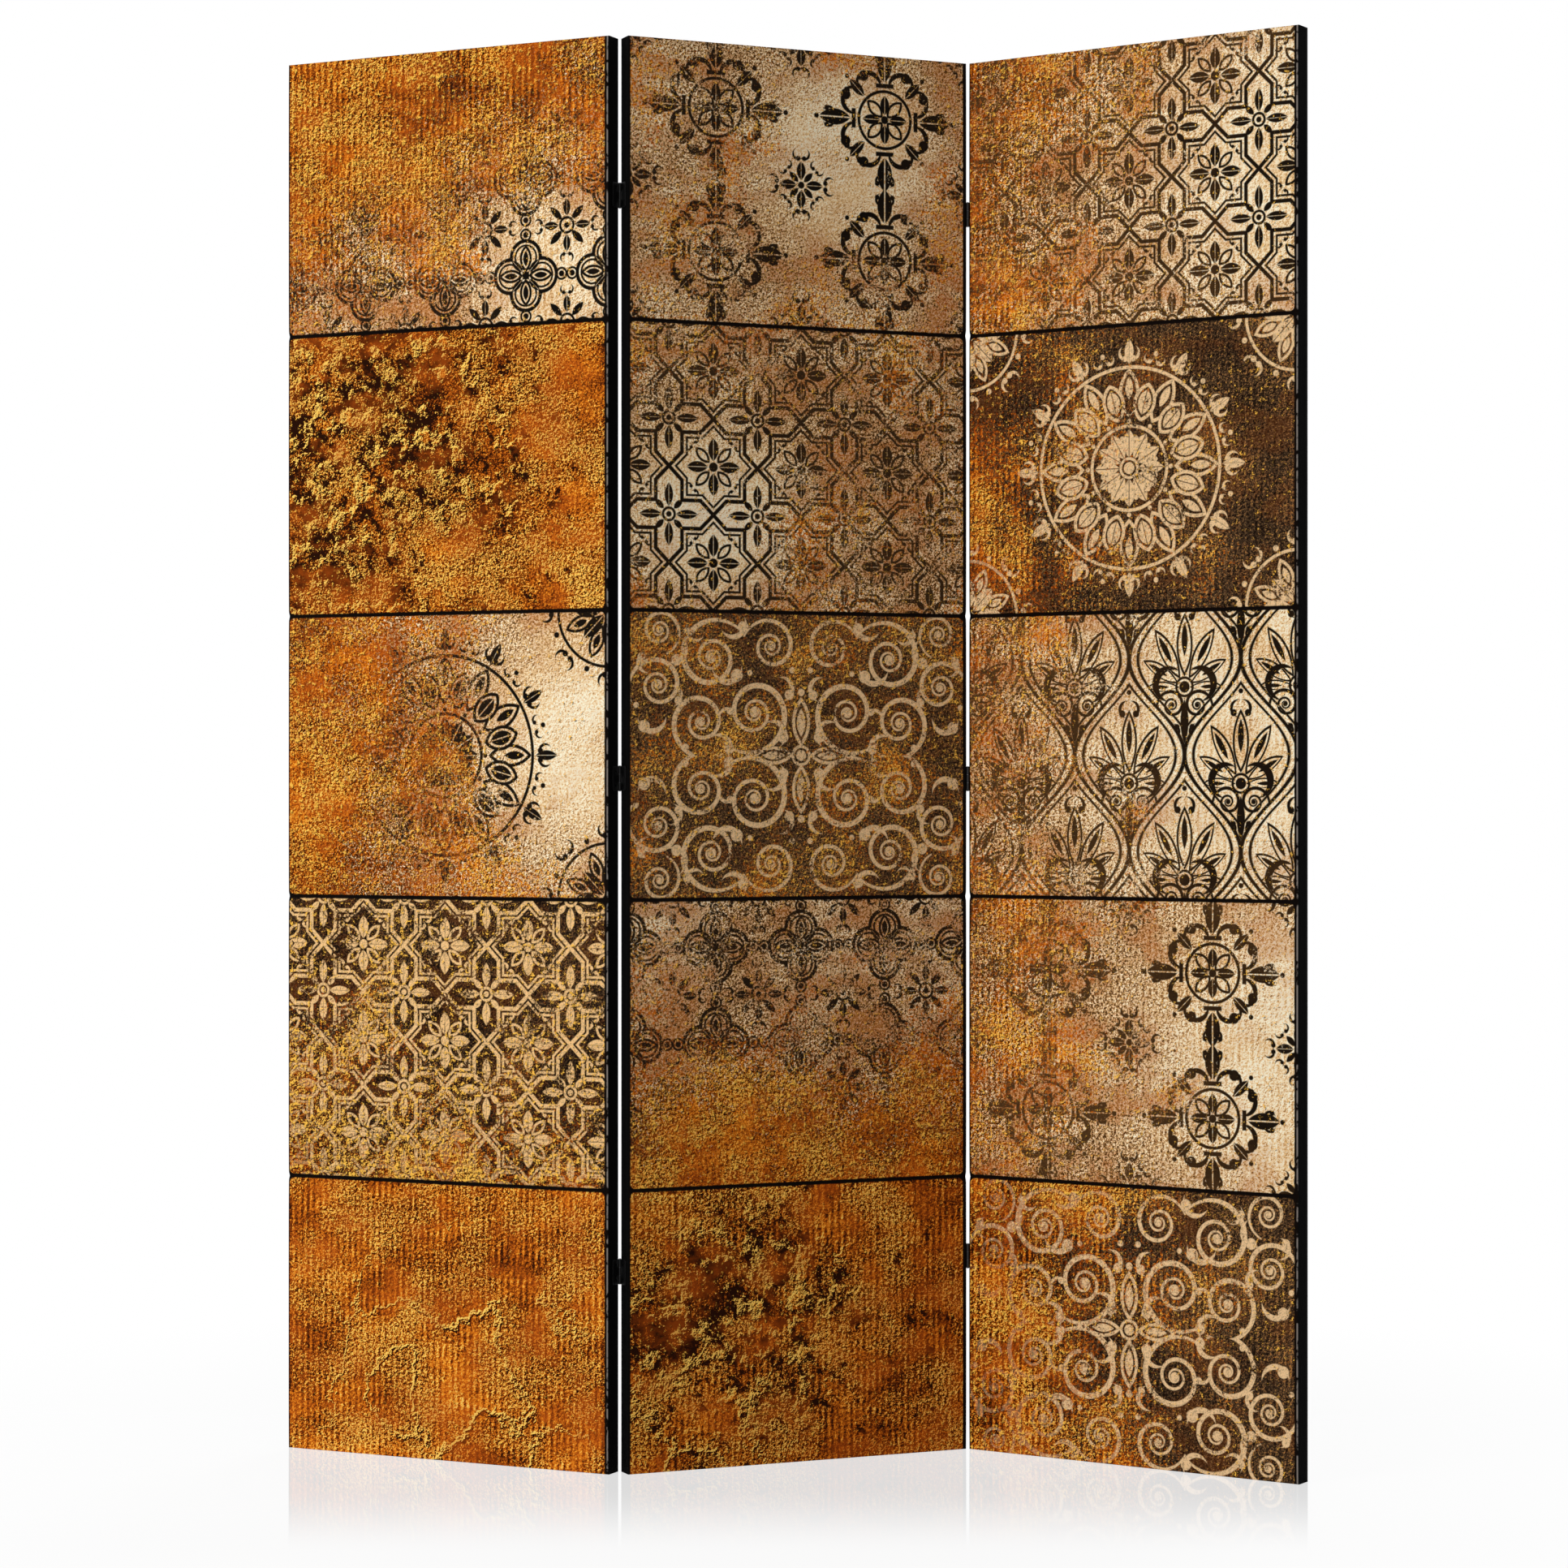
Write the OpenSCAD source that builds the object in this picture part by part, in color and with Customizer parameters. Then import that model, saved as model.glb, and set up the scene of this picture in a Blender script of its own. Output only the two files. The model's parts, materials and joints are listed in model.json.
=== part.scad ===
// Folding acoustic screen of three panels. Each panel is a timber frame filled with foam pads,
// with a printed cloth cover stretched over the front and sides and a lining stapled to the back.
// X runs along the screen, the printed faces look towards -Y, and the floor is at Z = 0.

/* [Screen] */
// Height of the screen
panel_h = 1720; // [1600:10:1900]
// Width of one panel
panel_w = 450; // [360:5:600]
// Angle of the centre panel to the line of the screen
centre_turn = 24; // [10:1:40]
// Fold between the left and the centre panel as the screen stands, where 0 is in line
left_fold = 49; // [20:1:90]
// Fold between the right and the centre panel as the screen stands, where 0 is in line
right_fold = 57; // [20:1:90]

/* [Timber frame] */
// Depth of the stiles and rails from front to back
frame_t = 21; // [18:0.5:30]
// Width of a stile
stile_w = 32; // [28:1:45]
// Height of the top and bottom rails
rail_h = 40; // [34:1:60]
// Height of the cross bars behind the channels
bar_h = 28; // [22:1:40]
// Set-back of the cross bars from the back of the stiles
bar_setback = 3; // [1:0.5:5]
// Length of a tenon
tenon_l = 12; // [8:1:14]
// Thickness of a tenon
tenon_t = 7; // [5:0.5:8]
// Shoulder above and below a tenon
tenon_shoulder = 6; // [4:0.5:8]
// Clearance all round a tenon in its mortise
tenon_fit = 0.1; // [0.05:0.05:0.2]

/* [Foam pads] */
// Number of padded fields from bottom to top
fields = 5; // [3:1:6]
// Distance between the channels that divide the fields
channel_pitch = 347.4; // [250:0.1:380]
// Thickness of the foam in front of the timber
foam_face_t = 3.6; // [3:0.1:6]
// Gap between two pads under a channel
pad_gap = 10; // [6:1:16]
// Clearance between the foam and the timber round it
pad_fit = 0.6; // [0.3:0.1:2]
// Air space between the foam and the lining
air_gap = 3; // [1:0.5:6]

/* [Cloth and lining] */
// Thickness of the printed cloth
cloth_t = 0.8; // [0.4:0.1:1.2]
// Clearance between the cloth and what it is stretched over
cloth_fit = 0.2; // [0.1:0.1:0.5]
// Radius of the edge where the cloth turns from the front to the sides
front_r = 1.5; // [1:0.1:3]
// Radius of the edge where the cloth turns onto the back
back_r = 1; // [0.5:0.1:1.5]
// Width of the cloth turned onto the back
hem_w = 25; // [18:1:27]
// Depth of a channel across the front
channel_depth = 1.8; // [0.5:0.1:2.4]
// Half width of a channel
channel_reach = 3.5; // [2:0.5:6]
// Rise of each field above its edges
crown = 0.6; // [0.2:0.1:1]
// Distance over which a field rises to its crown
crown_reach = 30; // [10:1:60]
// Thickness of the back lining
lining_t = 0.8; // [0.4:0.1:1.5]
// Distance of the lining from the edges of the panel
lining_inset = 7; // [4:1:10]

/* [Staples] */
// Length of a staple's crown
staple_w = 10; // [6:1:14]
// Thickness of the staple wire
staple_wire = 0.7; // [0.5:0.1:1]
// Length of a staple's legs
staple_leg = 6; // [4:1:10]
// Greatest distance between two staples
staple_pitch = 120; // [80:5:200]

/* [Hinges] */
// Height of a hinge
hinge_h = 30; // [26:1:40]
// Width of a hinge leaf on the side of the panel
leaf_w = 16; // [13:1:18]
// Thickness of a hinge leaf
leaf_t = 0.7; // [0.5:0.1:1.2]
// Radius of the leaf's free corners
leaf_r = 2; // [0.5:0.5:4]
// Space between the two leaves with the panels in line
leaf_clear = 0.3; // [0.2:0.1:1]
// Diameter of the hinge pin
pin_d = 2; // [1.6:0.1:3]
// Radial clearance of the pin in the knuckle that turns on it
pin_running_fit = 0.05; // [0.02:0.01:0.08]
// Radial clearance of the pin in the knuckles that hold it
pin_held_fit = 0.02; // [0.01:0.01:0.03]
// Wall of the knuckles round the pin
knuckle_wall = 0.6; // [0.5:0.05:1]
// Gap between two knuckles
knuckle_gap = 0.2; // [0.1:0.1:0.4]
// Clearance of the knuckles from the panels' edges, and of the staples from the middle between folded panels
fold_clear = 0.25; // [0.2:0.05:1]
// Thickness of the pin's button heads
pin_head_t = 0.6; // [0.4:0.1:1]
// Height of the lower hinge's middle above the floor
lower_hinge = 240; // [200:1:280]
// Distance of the middle hinge below half the height
middle_hinge_drop = 28; // [0:1:60]
// Distance of the upper hinge's middle from the top
upper_hinge_drop = 188; // [150:1:250]

/* [Hinge screws] */
// Diameter of a screw's shank
screw_d = 3; // [2.5:0.1:3.5]
// Length of a screw with its head
screw_l = 16; // [12:1:18]
// Diameter of a screw's head
screw_head_d = 5.2; // [4.5:0.1:6]
// Height of a screw's countersunk head
screw_head_h = 1.4; // [1.2:0.1:1.8]
// Distance between the two screws of a leaf
screw_pitch = 17; // [14:1:18]
// Distance of the screws from the panel face beside the pin
screw_in = 8.5; // [7:0.5:9]
// Radial clearance round a screw
screw_fit = 0.05; // [0.05:0.05:0.2]

/* [Hidden] */
LEFT = -1;
CENTRE = 0;
RIGHT = 1;
ARC_STEPS = 4;
EASE_STEPS = 6;
// Overrun of a cut past the faces that it opens
cut = 1;

// Depths, measured from the middle of the panel's thickness
panel_t = 2 * cloth_t + cloth_fit + foam_face_t + frame_t + lining_t;
front_y = -panel_t / 2;
foam_front = front_y + cloth_t + cloth_fit;
frame_front = foam_front + foam_face_t;
frame_back = frame_front + frame_t;
cover_back = frame_back + cloth_t;
bar_t = frame_t - bar_setback;

// Widths and heights of the timber
frame_edge = cloth_t + cloth_fit;
frame_half_w = panel_w / 2 - frame_edge;
opening_half_w = frame_half_w - stile_w;

// Heights of the channels, which lie evenly about half the height
channels = [for (i = [1 : fields - 1]) panel_h / 2 + (i - fields / 2) * channel_pitch];

// The hinges
panel_gap = 2 * leaf_t + leaf_clear;
running_bore_d = pin_d + 2 * pin_running_fit;
held_bore_d = pin_d + 2 * pin_held_fit;
knuckle_d = running_bore_d + 2 * knuckle_wall;
knuckle_h = (hinge_h - 2 * knuckle_gap) / 3;
pin_x = panel_w / 2 + panel_gap / 2;
// Where the middle of the pin lies for its knuckle to clear a rounded edge of the panel
function clear_of_edge(face, r) =
    face - r + sqrt(max(0, pow(r + knuckle_d / 2 + fold_clear, 2) - pow(r + panel_gap / 2, 2)));
pin_y = max(clear_of_edge(panel_t / 2, front_r), clear_of_edge(cover_back, back_r),
            panel_t / 2 + staple_wire + fold_clear);
// The leaf's tongues end inside the knuckle's wall
tongue_end = pin_y - knuckle_d * 3 / 8;
plate_end = pin_y - knuckle_d / 2 - leaf_clear;
hinge_heights = [lower_hinge, panel_h / 2 - middle_hinge_drop, panel_h - upper_hinge_drop];

// Node names
PANELS = ["left_panel", "centre_panel", "right_panel"];
JOINTS = ["left_joint", "", "right_joint"];
LEVELS = ["lower", "middle", "upper"];
PIECES = concat(["left_stile", "right_stile", "top_rail", "bottom_rail"],
                [for (i = [1 : fields - 1]) str("cross_bar_", i)],
                ["foam_pads", "cover", "lining", "staples", "hinge_screws"]);
HINGE_PIECES = ["centre_leaf", "outer_leaf", "pin"];
function panel_node(side, piece) = str(PANELS[side + 1], "_", piece);
function hinge_node(side, level, piece) = str(JOINTS[side + 1], "_", LEVELS[level], "_", piece);

// Where the panels stand. The left hinges lie behind the panels and the right ones in front,
// so that the screen folds in a zigzag.
function turned(p, a) = [p.x * cos(a) - p.y * sin(a), p.x * sin(a) + p.y * cos(a)];
function fold_of(side) = side == LEFT ? left_fold : right_fold;
function pin_on_centre(side) = [side * pin_x, -side * pin_y];
function pin_on_outer(side) = [-side * pin_x, -side * pin_y];
function from_centre(side, p) =
    side == CENTRE ? p : pin_on_centre(side) + turned(p - pin_on_outer(side), -fold_of(side));

// The middle of the rectangle that the standing screen takes up on the floor
corners = [for (side = [LEFT : RIGHT], p = plan_outline(0)) turned(from_centre(side, p), centre_turn)];
xs = [for (p = corners) p.x];
ys = [for (p = corners) p.y];
middle = [min(xs) + max(xs), min(ys) + max(ys)] / 2;

// Puts a piece, drawn in its own panel's axes, where that panel stands
module place(side) {
    translate([-middle.x, -middle.y, 0])
        rotate(centre_turn)
            if (side == CENTRE)
                children();
            else
                translate([pin_on_centre(side).x, pin_on_centre(side).y, 0])
                    rotate(-fold_of(side))
                        translate([-pin_on_outer(side).x, -pin_on_outer(side).y, 0])
                            children();
}

// Outlines of the cover
function arc(centre, r, from) =
    [for (i = [0 : ARC_STEPS]) centre + r * [cos(from + i * 90 / ARC_STEPS), sin(from + i * 90 / ARC_STEPS)]];

// The cover seen from above, drawn in by an inset
function plan_outline(inset) =
    let (x = panel_w / 2 - inset, front = front_y + inset, back = cover_back - inset)
    let (r = front_r - inset, b = inset > 0 ? 0 : back_r)
    concat(arc([-x + r, front + r], r, 180), arc([x - r, front + r], r, 270),
           b > 0 ? arc([x - b, back - b], b, 0) : [[x, back]],
           b > 0 ? arc([-x + b, back - b], b, 90) : [[-x, back]]);

// How far the front lies below its crown at a height
function nearest(z, heights) = min([for (h = heights) abs(z - h)]);
function dip(z) =
    channel_depth * exp(-pow(nearest(z, channels) / channel_reach, 2))
    + crown * exp(-nearest(z, concat(0, channels, panel_h)) / crown_reach);

// Heights at which the front is drawn, closer together near each channel and end
function ease(i) = channel_reach * pow(i / 2, 2);
front_heights = concat(
    [for (i = [2 : EASE_STEPS]) ease(i)],
    [for (h = channels, i = [-EASE_STEPS : EASE_STEPS]) h + sign(i) * ease(i)],
    [for (i = [-EASE_STEPS : -2]) panel_h - ease(i)]);
function front_line(from, to, inset) =
    [for (z = front_heights) if (z > from && z < to) [front_y + inset + dip(z), z]];

// The cover seen from the side, as [y, z], drawn in by an inset
function side_outline(inset) =
    let (front = front_y + inset, back = cover_back - inset, top = panel_h - inset)
    let (r = front_r - inset, b = inset > 0 ? 0 : back_r, low = dip(front_r), high = front + low + r)
    concat(b > 0 ? arc([back - b, inset + b], b, 270) : [[back, inset]],
           b > 0 ? arc([back - b, top - b], b, 0) : [[back, top]],
           arc([high, top - r], r, 90),
           [for (i = [len(front_heights) - 1 : -1 : 0])
               let (z = front_heights[i]) if (z > inset + r && z < top - r) [front + dip(z), z]],
           arc([high, inset + r], r, 180));

// A solid of the cover's outer shape, or of its inside for an inset of the cloth's thickness
module cover_block(inset) {
    intersection() {
        linear_extrude(panel_h - inset)
            polygon(plan_outline(inset));
        span(panel_w)
            polygon(side_outline(inset));
    }
}

// Extrudes a [y, z] outline along the panel's width
module span(width) {
    translate([-width / 2, 0, 0])
        rotate([90, 0, 90])
            linear_extrude(width)
                children();
}

// Cover of printed cloth: a front with crowned fields and channels, four sides and a hem
module cover(side) {
    color([0.72, 0.52, 0.28])
        difference() {
            cover_block(0);
            cover_block(cloth_t);
            translate([-panel_w / 2 + hem_w, 0, hem_w])
                cube([panel_w - 2 * hem_w, panel_t, panel_h - 2 * hem_w]);
            each_screw(side)
                translate([panel_w / 2 - cloth_t - cut, 0, 0])
                    along_x(2 * cut + cloth_t, screw_head_d / 2 - leaf_t / 2);
        }
}

// Back lining, a thin sheet over the hem
module lining() {
    color([0.09, 0.09, 0.1])
        translate([-panel_w / 2 + lining_inset, cover_back, lining_inset])
            cube([panel_w - 2 * lining_inset, lining_t, panel_h - 2 * lining_inset]);
}

// A staple on the back, its crown along X or, upright, along Z
module staple(upright) {
    rotate([0, upright ? 90 : 0, 0]) {
        translate([-staple_w / 2, 0, -staple_wire / 2])
            cube([staple_w, staple_wire, staple_wire]);
        for (x = [-staple_w / 2, staple_w / 2 - staple_wire])
            translate([x, -staple_leg, -staple_wire / 2])
                cube([staple_wire, staple_leg + staple_wire, staple_wire]);
    }
}

// Staples through the lining and the hem into the timber, spread evenly along each edge
module staples() {
    x = panel_w / 2 - hem_w / 2;
    z = panel_h / 2 - hem_w / 2;
    along_w = ceil(2 * (x - hem_w) / staple_pitch);
    along_h = ceil(2 * (z - hem_w) / staple_pitch);
    color([0.75, 0.75, 0.77])
        translate([0, panel_t / 2, panel_h / 2]) {
            for (end = [-1, 1], i = [0 : along_w])
                translate([(x - hem_w) * (2 * i / along_w - 1), 0, end * z])
                    staple(false);
            for (end = [-1, 1], i = [0 : along_h])
                translate([end * x, 0, (z - hem_w) * (2 * i / along_h - 1)])
                    staple(true);
        }
}

// Timber frame
function tenon_heights() = concat([[frame_edge, rail_h]],
                                  [for (h = channels) [h - bar_h / 2, bar_h]],
                                  [[panel_h - frame_edge - rail_h, rail_h]]);

// The tenon of a rail or bar that starts at height z, or its mortise for a fit above 0
module tenon(z, height, fit) {
    translate([opening_half_w - (fit > 0 ? cut : 0), (frame_front + frame_back - tenon_t) / 2 - fit,
               z + tenon_shoulder - fit])
        cube([tenon_l + fit + (fit > 0 ? cut : 0), tenon_t + 2 * fit, height - 2 * tenon_shoulder + 2 * fit]);
}

// Stile at one end of the panel, with mortises inside and pilot holes for the hinge screws
module stile(side, end) {
    color("burlywood")
        difference() {
            mirror([end < 0 ? 1 : 0, 0, 0])
                difference() {
                    translate([opening_half_w, frame_front, frame_edge])
                        cube([stile_w, frame_t, panel_h - 2 * frame_edge]);
                    for (t = tenon_heights())
                        tenon(t[0], t[1], tenon_fit);
                }
            each_screw(side)
                translate([panel_w / 2 + leaf_t - screw_l - cut, 0, 0])
                    along_x(screw_l + cut, screw_d / 2 + screw_fit);
        }
}

// Rail or cross bar between the stiles, with a tenon at each end
module crosspiece(z, height, depth) {
    color("burlywood") {
        translate([-opening_half_w, frame_front, z])
            cube([2 * opening_half_w, depth, height]);
        for (end = [0, 1])
            mirror([end, 0, 0])
                tenon(z, height, 0);
    }
}

// One foam pad per field: a block between the timbers with a crowned face over them
module foam_pads() {
    color([0.3, 0.3, 0.32])
        for (i = [0 : fields - 1]) {
            low = i == 0 ? front_r + pad_fit : channels[i - 1] + pad_gap / 2;
            high = i == fields - 1 ? panel_h - front_r - pad_fit : channels[i] - pad_gap / 2;
            block_low = i == 0 ? frame_edge + rail_h : channels[i - 1] + bar_h / 2;
            block_high = i == fields - 1 ? panel_h - frame_edge - rail_h : channels[i] - bar_h / 2;
            inset = cloth_t + cloth_fit;
            span(panel_w - 2 * (front_r + pad_fit))
                polygon(concat([[frame_front, low], [front_y + inset + dip(low), low]],
                               front_line(low, high, inset),
                               [[front_y + inset + dip(high), high], [frame_front, high]]));
            translate([-opening_half_w + pad_fit, frame_front - cut, block_low + pad_fit])
                cube([2 * (opening_half_w - pad_fit), frame_t - air_gap + cut,
                      block_high - block_low - 2 * pad_fit]);
        }
}

// Hinges. A hinge piece is drawn at the right-hand end with its pin behind the panel, and
// mirrored from there to its own end and face.
module at_hinge(side, outer, height) {
    end = outer ? -side : side;
    mirror([end < 0 ? 1 : 0, 0, 0])
        mirror([0, side > 0 ? 1 : 0, 0])
            translate([0, 0, height])
                children();
}

// Places a piece at each hinge screw of a panel
module each_screw(side) {
    for (joint = side == CENTRE ? [LEFT, RIGHT] : [side], height = hinge_heights, up = [-1, 1])
        at_hinge(joint, side != CENTRE, height)
            translate([0, panel_t / 2 - screw_in, up * screw_pitch / 2])
                children();
}

// A cylinder, or a cone, that runs along +X from the origin
module along_x(length, r1, r2 = undef) {
    rotate([0, 90, 0])
        cylinder(h = length, r1 = r1, r2 = is_undef(r2) ? r1 : r2, $fn = 48);
}

// Leaf with its knuckles: the outer leaf has the two end knuckles and the centre leaf the middle one
module leaf(outer) {
    knuckles = outer ? [0, 2] : [1];
    bore_d = outer ? held_bore_d : running_bore_d;
    far = panel_t / 2 - leaf_w;
    half = hinge_h / 2;
    color([0.08, 0.08, 0.08])
        difference() {
            union() {
                translate([panel_w / 2, 0, 0])
                    rotate([90, 0, 90])
                        linear_extrude(leaf_t)
                            polygon(concat([[plate_end, -half], [plate_end, half]],
                                           arc([far + leaf_r, half - leaf_r], leaf_r, 90),
                                           arc([far + leaf_r, -half + leaf_r], leaf_r, 180)));
                for (k = knuckles)
                    translate([0, 0, -half + k * (knuckle_h + knuckle_gap)]) {
                        translate([panel_w / 2, plate_end - leaf_clear, 0])
                            cube([leaf_t, tongue_end - plate_end + leaf_clear, knuckle_h]);
                        translate([pin_x, pin_y, 0])
                            cylinder(h = knuckle_h, d = knuckle_d, $fn = 64);
                    }
            }
            translate([pin_x, pin_y, -half - cut])
                cylinder(h = hinge_h + 2 * cut, d = bore_d, $fn = 64);
            for (up = [-1, 1])
                translate([panel_w / 2 + leaf_t, panel_t / 2 - screw_in, up * screw_pitch / 2])
                    countersink();
        }
}

// The hole for a screw's head and shank
module countersink() {
    translate([-screw_head_h, 0, 0])
        along_x(screw_head_h, screw_d / 2 + screw_fit, screw_head_d / 2 + screw_fit);
    translate([-screw_head_h - cut, 0, 0])
        along_x(screw_head_h + cut, screw_d / 2 + screw_fit);
}

// Pin with a button head at each end
module pin() {
    color([0.16, 0.16, 0.17])
        translate([pin_x, pin_y, 0]) {
            cylinder(h = hinge_h, d = pin_d, center = true, $fn = 64);
            for (up = [-1, 1])
                translate([0, 0, up * (hinge_h + pin_head_t) / 2])
                    cylinder(h = pin_head_t, d = (pin_d + knuckle_d) / 2, center = true, $fn = 64);
        }
}

// Countersunk screw with a cross slot, flush with the leaf and driven towards -X
module screw() {
    point = 2 * screw_d / 3;
    slot_w = screw_d / 4;
    color([0.12, 0.12, 0.13])
        translate([panel_w / 2 + leaf_t, 0, 0])
            difference() {
                union() {
                    translate([-screw_head_h, 0, 0])
                        along_x(screw_head_h, screw_d / 2, screw_head_d / 2);
                    translate([-screw_l + point, 0, 0])
                        along_x(screw_l - point - screw_head_h, screw_d / 2);
                    translate([-screw_l, 0, 0])
                        along_x(point, screw_d / 12, screw_d / 2);
                }
                for (a = [0, 90])
                    rotate([a, 0, 0])
                        translate([-slot_w, -screw_d / 2, -slot_w / 2])
                            cube([slot_w + cut, screw_d, slot_w]);
            }
}

module hinge_screws(side) {
    each_screw(side)
        screw();
}

for (side = [LEFT : RIGHT])
    place(side) {
        stile(side, LEFT);
        stile(side, RIGHT);
        crosspiece(panel_h - frame_edge - rail_h, rail_h, frame_t);
        crosspiece(frame_edge, rail_h, frame_t);
        for (i = [1 : fields - 1])
            crosspiece(channels[i - 1] - bar_h / 2, bar_h, bar_t);
        foam_pads();
        cover(side);
        lining();
        staples();
        hinge_screws(side);
    }

for (side = [LEFT, RIGHT], level = [0 : 2]) {
    place(CENTRE) at_hinge(side, false, hinge_heights[level]) leaf(false);
    place(side) at_hinge(side, true, hinge_heights[level]) leaf(true);
    place(side) at_hinge(side, true, hinge_heights[level]) pin();
}
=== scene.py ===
# %% [markdown]
# A folding acoustic screen of three panels stands in a zigzag on a pale floor. The CAD frame gives the
# timber, the hinges and the fixings. Blender adds what makes the screen look real: the printed cloth,
# the lining, the foam, and a finish for every part.

# %% Load the frame
import json
import math

import bpy
import numpy as np
from mathutils import Matrix, Vector


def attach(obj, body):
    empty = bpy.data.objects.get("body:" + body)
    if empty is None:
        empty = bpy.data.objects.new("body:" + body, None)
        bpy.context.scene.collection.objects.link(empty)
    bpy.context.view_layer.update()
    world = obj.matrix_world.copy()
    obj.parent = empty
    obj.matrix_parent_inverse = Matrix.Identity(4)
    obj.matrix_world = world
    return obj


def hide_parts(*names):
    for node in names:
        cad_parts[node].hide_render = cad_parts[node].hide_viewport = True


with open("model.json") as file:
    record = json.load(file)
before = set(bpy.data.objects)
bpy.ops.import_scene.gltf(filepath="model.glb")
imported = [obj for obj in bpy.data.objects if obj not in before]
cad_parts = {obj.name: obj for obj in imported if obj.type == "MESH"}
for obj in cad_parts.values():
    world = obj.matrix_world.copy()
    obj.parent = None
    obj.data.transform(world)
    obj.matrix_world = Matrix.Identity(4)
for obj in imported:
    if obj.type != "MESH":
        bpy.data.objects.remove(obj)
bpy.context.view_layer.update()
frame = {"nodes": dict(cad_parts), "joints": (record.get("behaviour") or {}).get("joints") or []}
print("CAD nodes:", len(frame["nodes"]))

# %% [markdown]
# The pieces are drawn in each panel's own axes: X across the panel, Y from the printed face to the back,
# and Z up. Lengths are written in millimetres, as a maker would, and turned into metres when a mesh is
# made. These few sizes are the ones that the CAD model uses, so that every new piece fits it.

# %% Sizes of a panel
MM = 0.001
PANEL_W, PANEL_H = 450, 1720
# Depths from the panel's middle: the printed face, the timber's front, and the backs of hem and lining
FRONT, FRAME_FRONT, COVER_BACK, LINING_BACK = -13.6, -9.0, 12.8, 13.6
CLOTH_T, LINING_T = 0.8, 0.8
# Radii of the cover's edges
FRONT_R, BACK_R = 1.5, 1
HEM_W, LINING_INSET = 25, 7
# Padded fields of a panel, and the distance between the channels that part them
FIELDS, PITCH = 5, 347.4
CHANNELS = [PANEL_H / 2 + (i - FIELDS / 2) * PITCH for i in range(1, FIELDS)]
print("Channels at", [round(z, 1) for z in CHANNELS], "mm")

# %% [markdown]
# The panels' places could be typed in, but the CAD model already knows them. Its two fold joints stand
# where the hinge pins do, and every panel has its pins at like places. So the middle of the centre panel
# is halfway between the joints, and an outer panel is found from its pins and its turn. A fold joint's
# lowest value is where the panels are in line, so it also says how far the panel is folded.

# %% Where the panels stand
PANELS = ["left", "centre", "right"]
CENTRE_TURN = 24


def turned_by(degrees):
    """A turn about the upright axis."""
    return Matrix.Rotation(math.radians(degrees), 4, "Z")


folds = {joint["child"].split("_")[0]: joint for joint in frame["joints"]}
TURNS = {panel: CENTRE_TURN + (folds[panel]["range_deg"][0] if panel in folds else 0) for panel in PANELS}
pins = {panel: Vector(fold["pos_m"]) for panel, fold in folds.items()}
middle = (pins["left"] + pins["right"]) / 2
to_pin = turned_by(-CENTRE_TURN) @ (pins["right"] - middle)
to_pin.y = -to_pin.y
MIDDLES = {"left": pins["left"] - turned_by(TURNS["left"]) @ to_pin, "centre": middle,
           "right": pins["right"] + turned_by(TURNS["right"]) @ to_pin}


def standing(panel):
    """The matrix that puts a piece drawn in a panel's axes where that panel stands."""
    return Matrix.Translation(MIDDLES[panel]) @ turned_by(TURNS[panel])


for panel in PANELS:
    print(panel, "middle", [round(c / MM, 3) for c in MIDDLES[panel]], "mm, turn", TURNS[panel], "degrees")

# %% [markdown]
# The camera stands straight ahead at about half the height of the screen, nearly five metres away. A guess
# at the lens would do for one panel, but not for three at different distances. So the lens and the place
# were fitted together to the corners of the panels in the picture, and near edges grow in the same way.

# %% Camera
eye = bpy.data.objects.new("Camera", bpy.data.cameras.new("Camera"))
bpy.context.scene.collection.objects.link(eye)
eye.location = (0.0198, -4.7083, 0.8224)
eye.rotation_euler = (math.radians(90.036), 0, math.radians(0.26))
eye.data.lens = 89.05
eye.data.sensor_width = 36
bpy.context.scene.camera = eye
bpy.context.scene.view_settings.view_transform = "Standard"
print("Lens", eye.data.lens, "mm")

# %% [markdown]
# Patterns are easiest to think of as arithmetic: a line is where a distance is nearly zero. Blender does
# arithmetic on a surface with math nodes, and wiring them one by one is slow. A small class makes a node
# each time two numbers are added or multiplied, so that a pattern reads like a formula.

# %% Arithmetic that makes nodes
class Number:
    """A number at every point of a surface. Arithmetic on it adds math nodes."""

    def __init__(self, tree, socket):
        self.tree, self.socket = tree, socket

    def __add__(self, other):
        return math_node("ADD", self, other)

    def __sub__(self, other):
        return math_node("SUBTRACT", self, other)

    def __rsub__(self, other):
        return math_node("SUBTRACT", other, self)

    def __mul__(self, other):
        return math_node("MULTIPLY", self, other)

    def __truediv__(self, other):
        return math_node("DIVIDE", self, other)

    def __abs__(self):
        return math_node("ABSOLUTE", self)

    __radd__, __rmul__ = __add__, __mul__


def plug(tree, socket, term):
    """Links a number made by nodes to a socket, or writes a plain number in it."""
    if isinstance(term, Number):
        tree.links.new(term.socket, socket)
    else:
        socket.default_value = term


def math_node(kind, *terms, clamp=False):
    """A math node of some kind on up to three numbers."""
    tree = next(t.tree for t in terms if isinstance(t, Number))
    node = tree.nodes.new("ShaderNodeMath")
    node.operation = kind
    node.use_clamp = clamp
    for socket, term in zip(node.inputs, terms):
        plug(tree, socket, term)
    return Number(tree, node.outputs[0])


def vector_node(kind, *terms, output=0):
    """A vector math node. Output 0 is a place or direction, and output 1 a plain number."""
    tree = next(t.tree for t in terms if isinstance(t, Number))
    node = tree.nodes.new("ShaderNodeVectorMath")
    node.operation = kind
    for socket, term in zip(node.inputs, terms):
        plug(tree, socket, term)
    return Number(tree, node.outputs[output])


print("Sums, products and distances ready")

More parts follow.
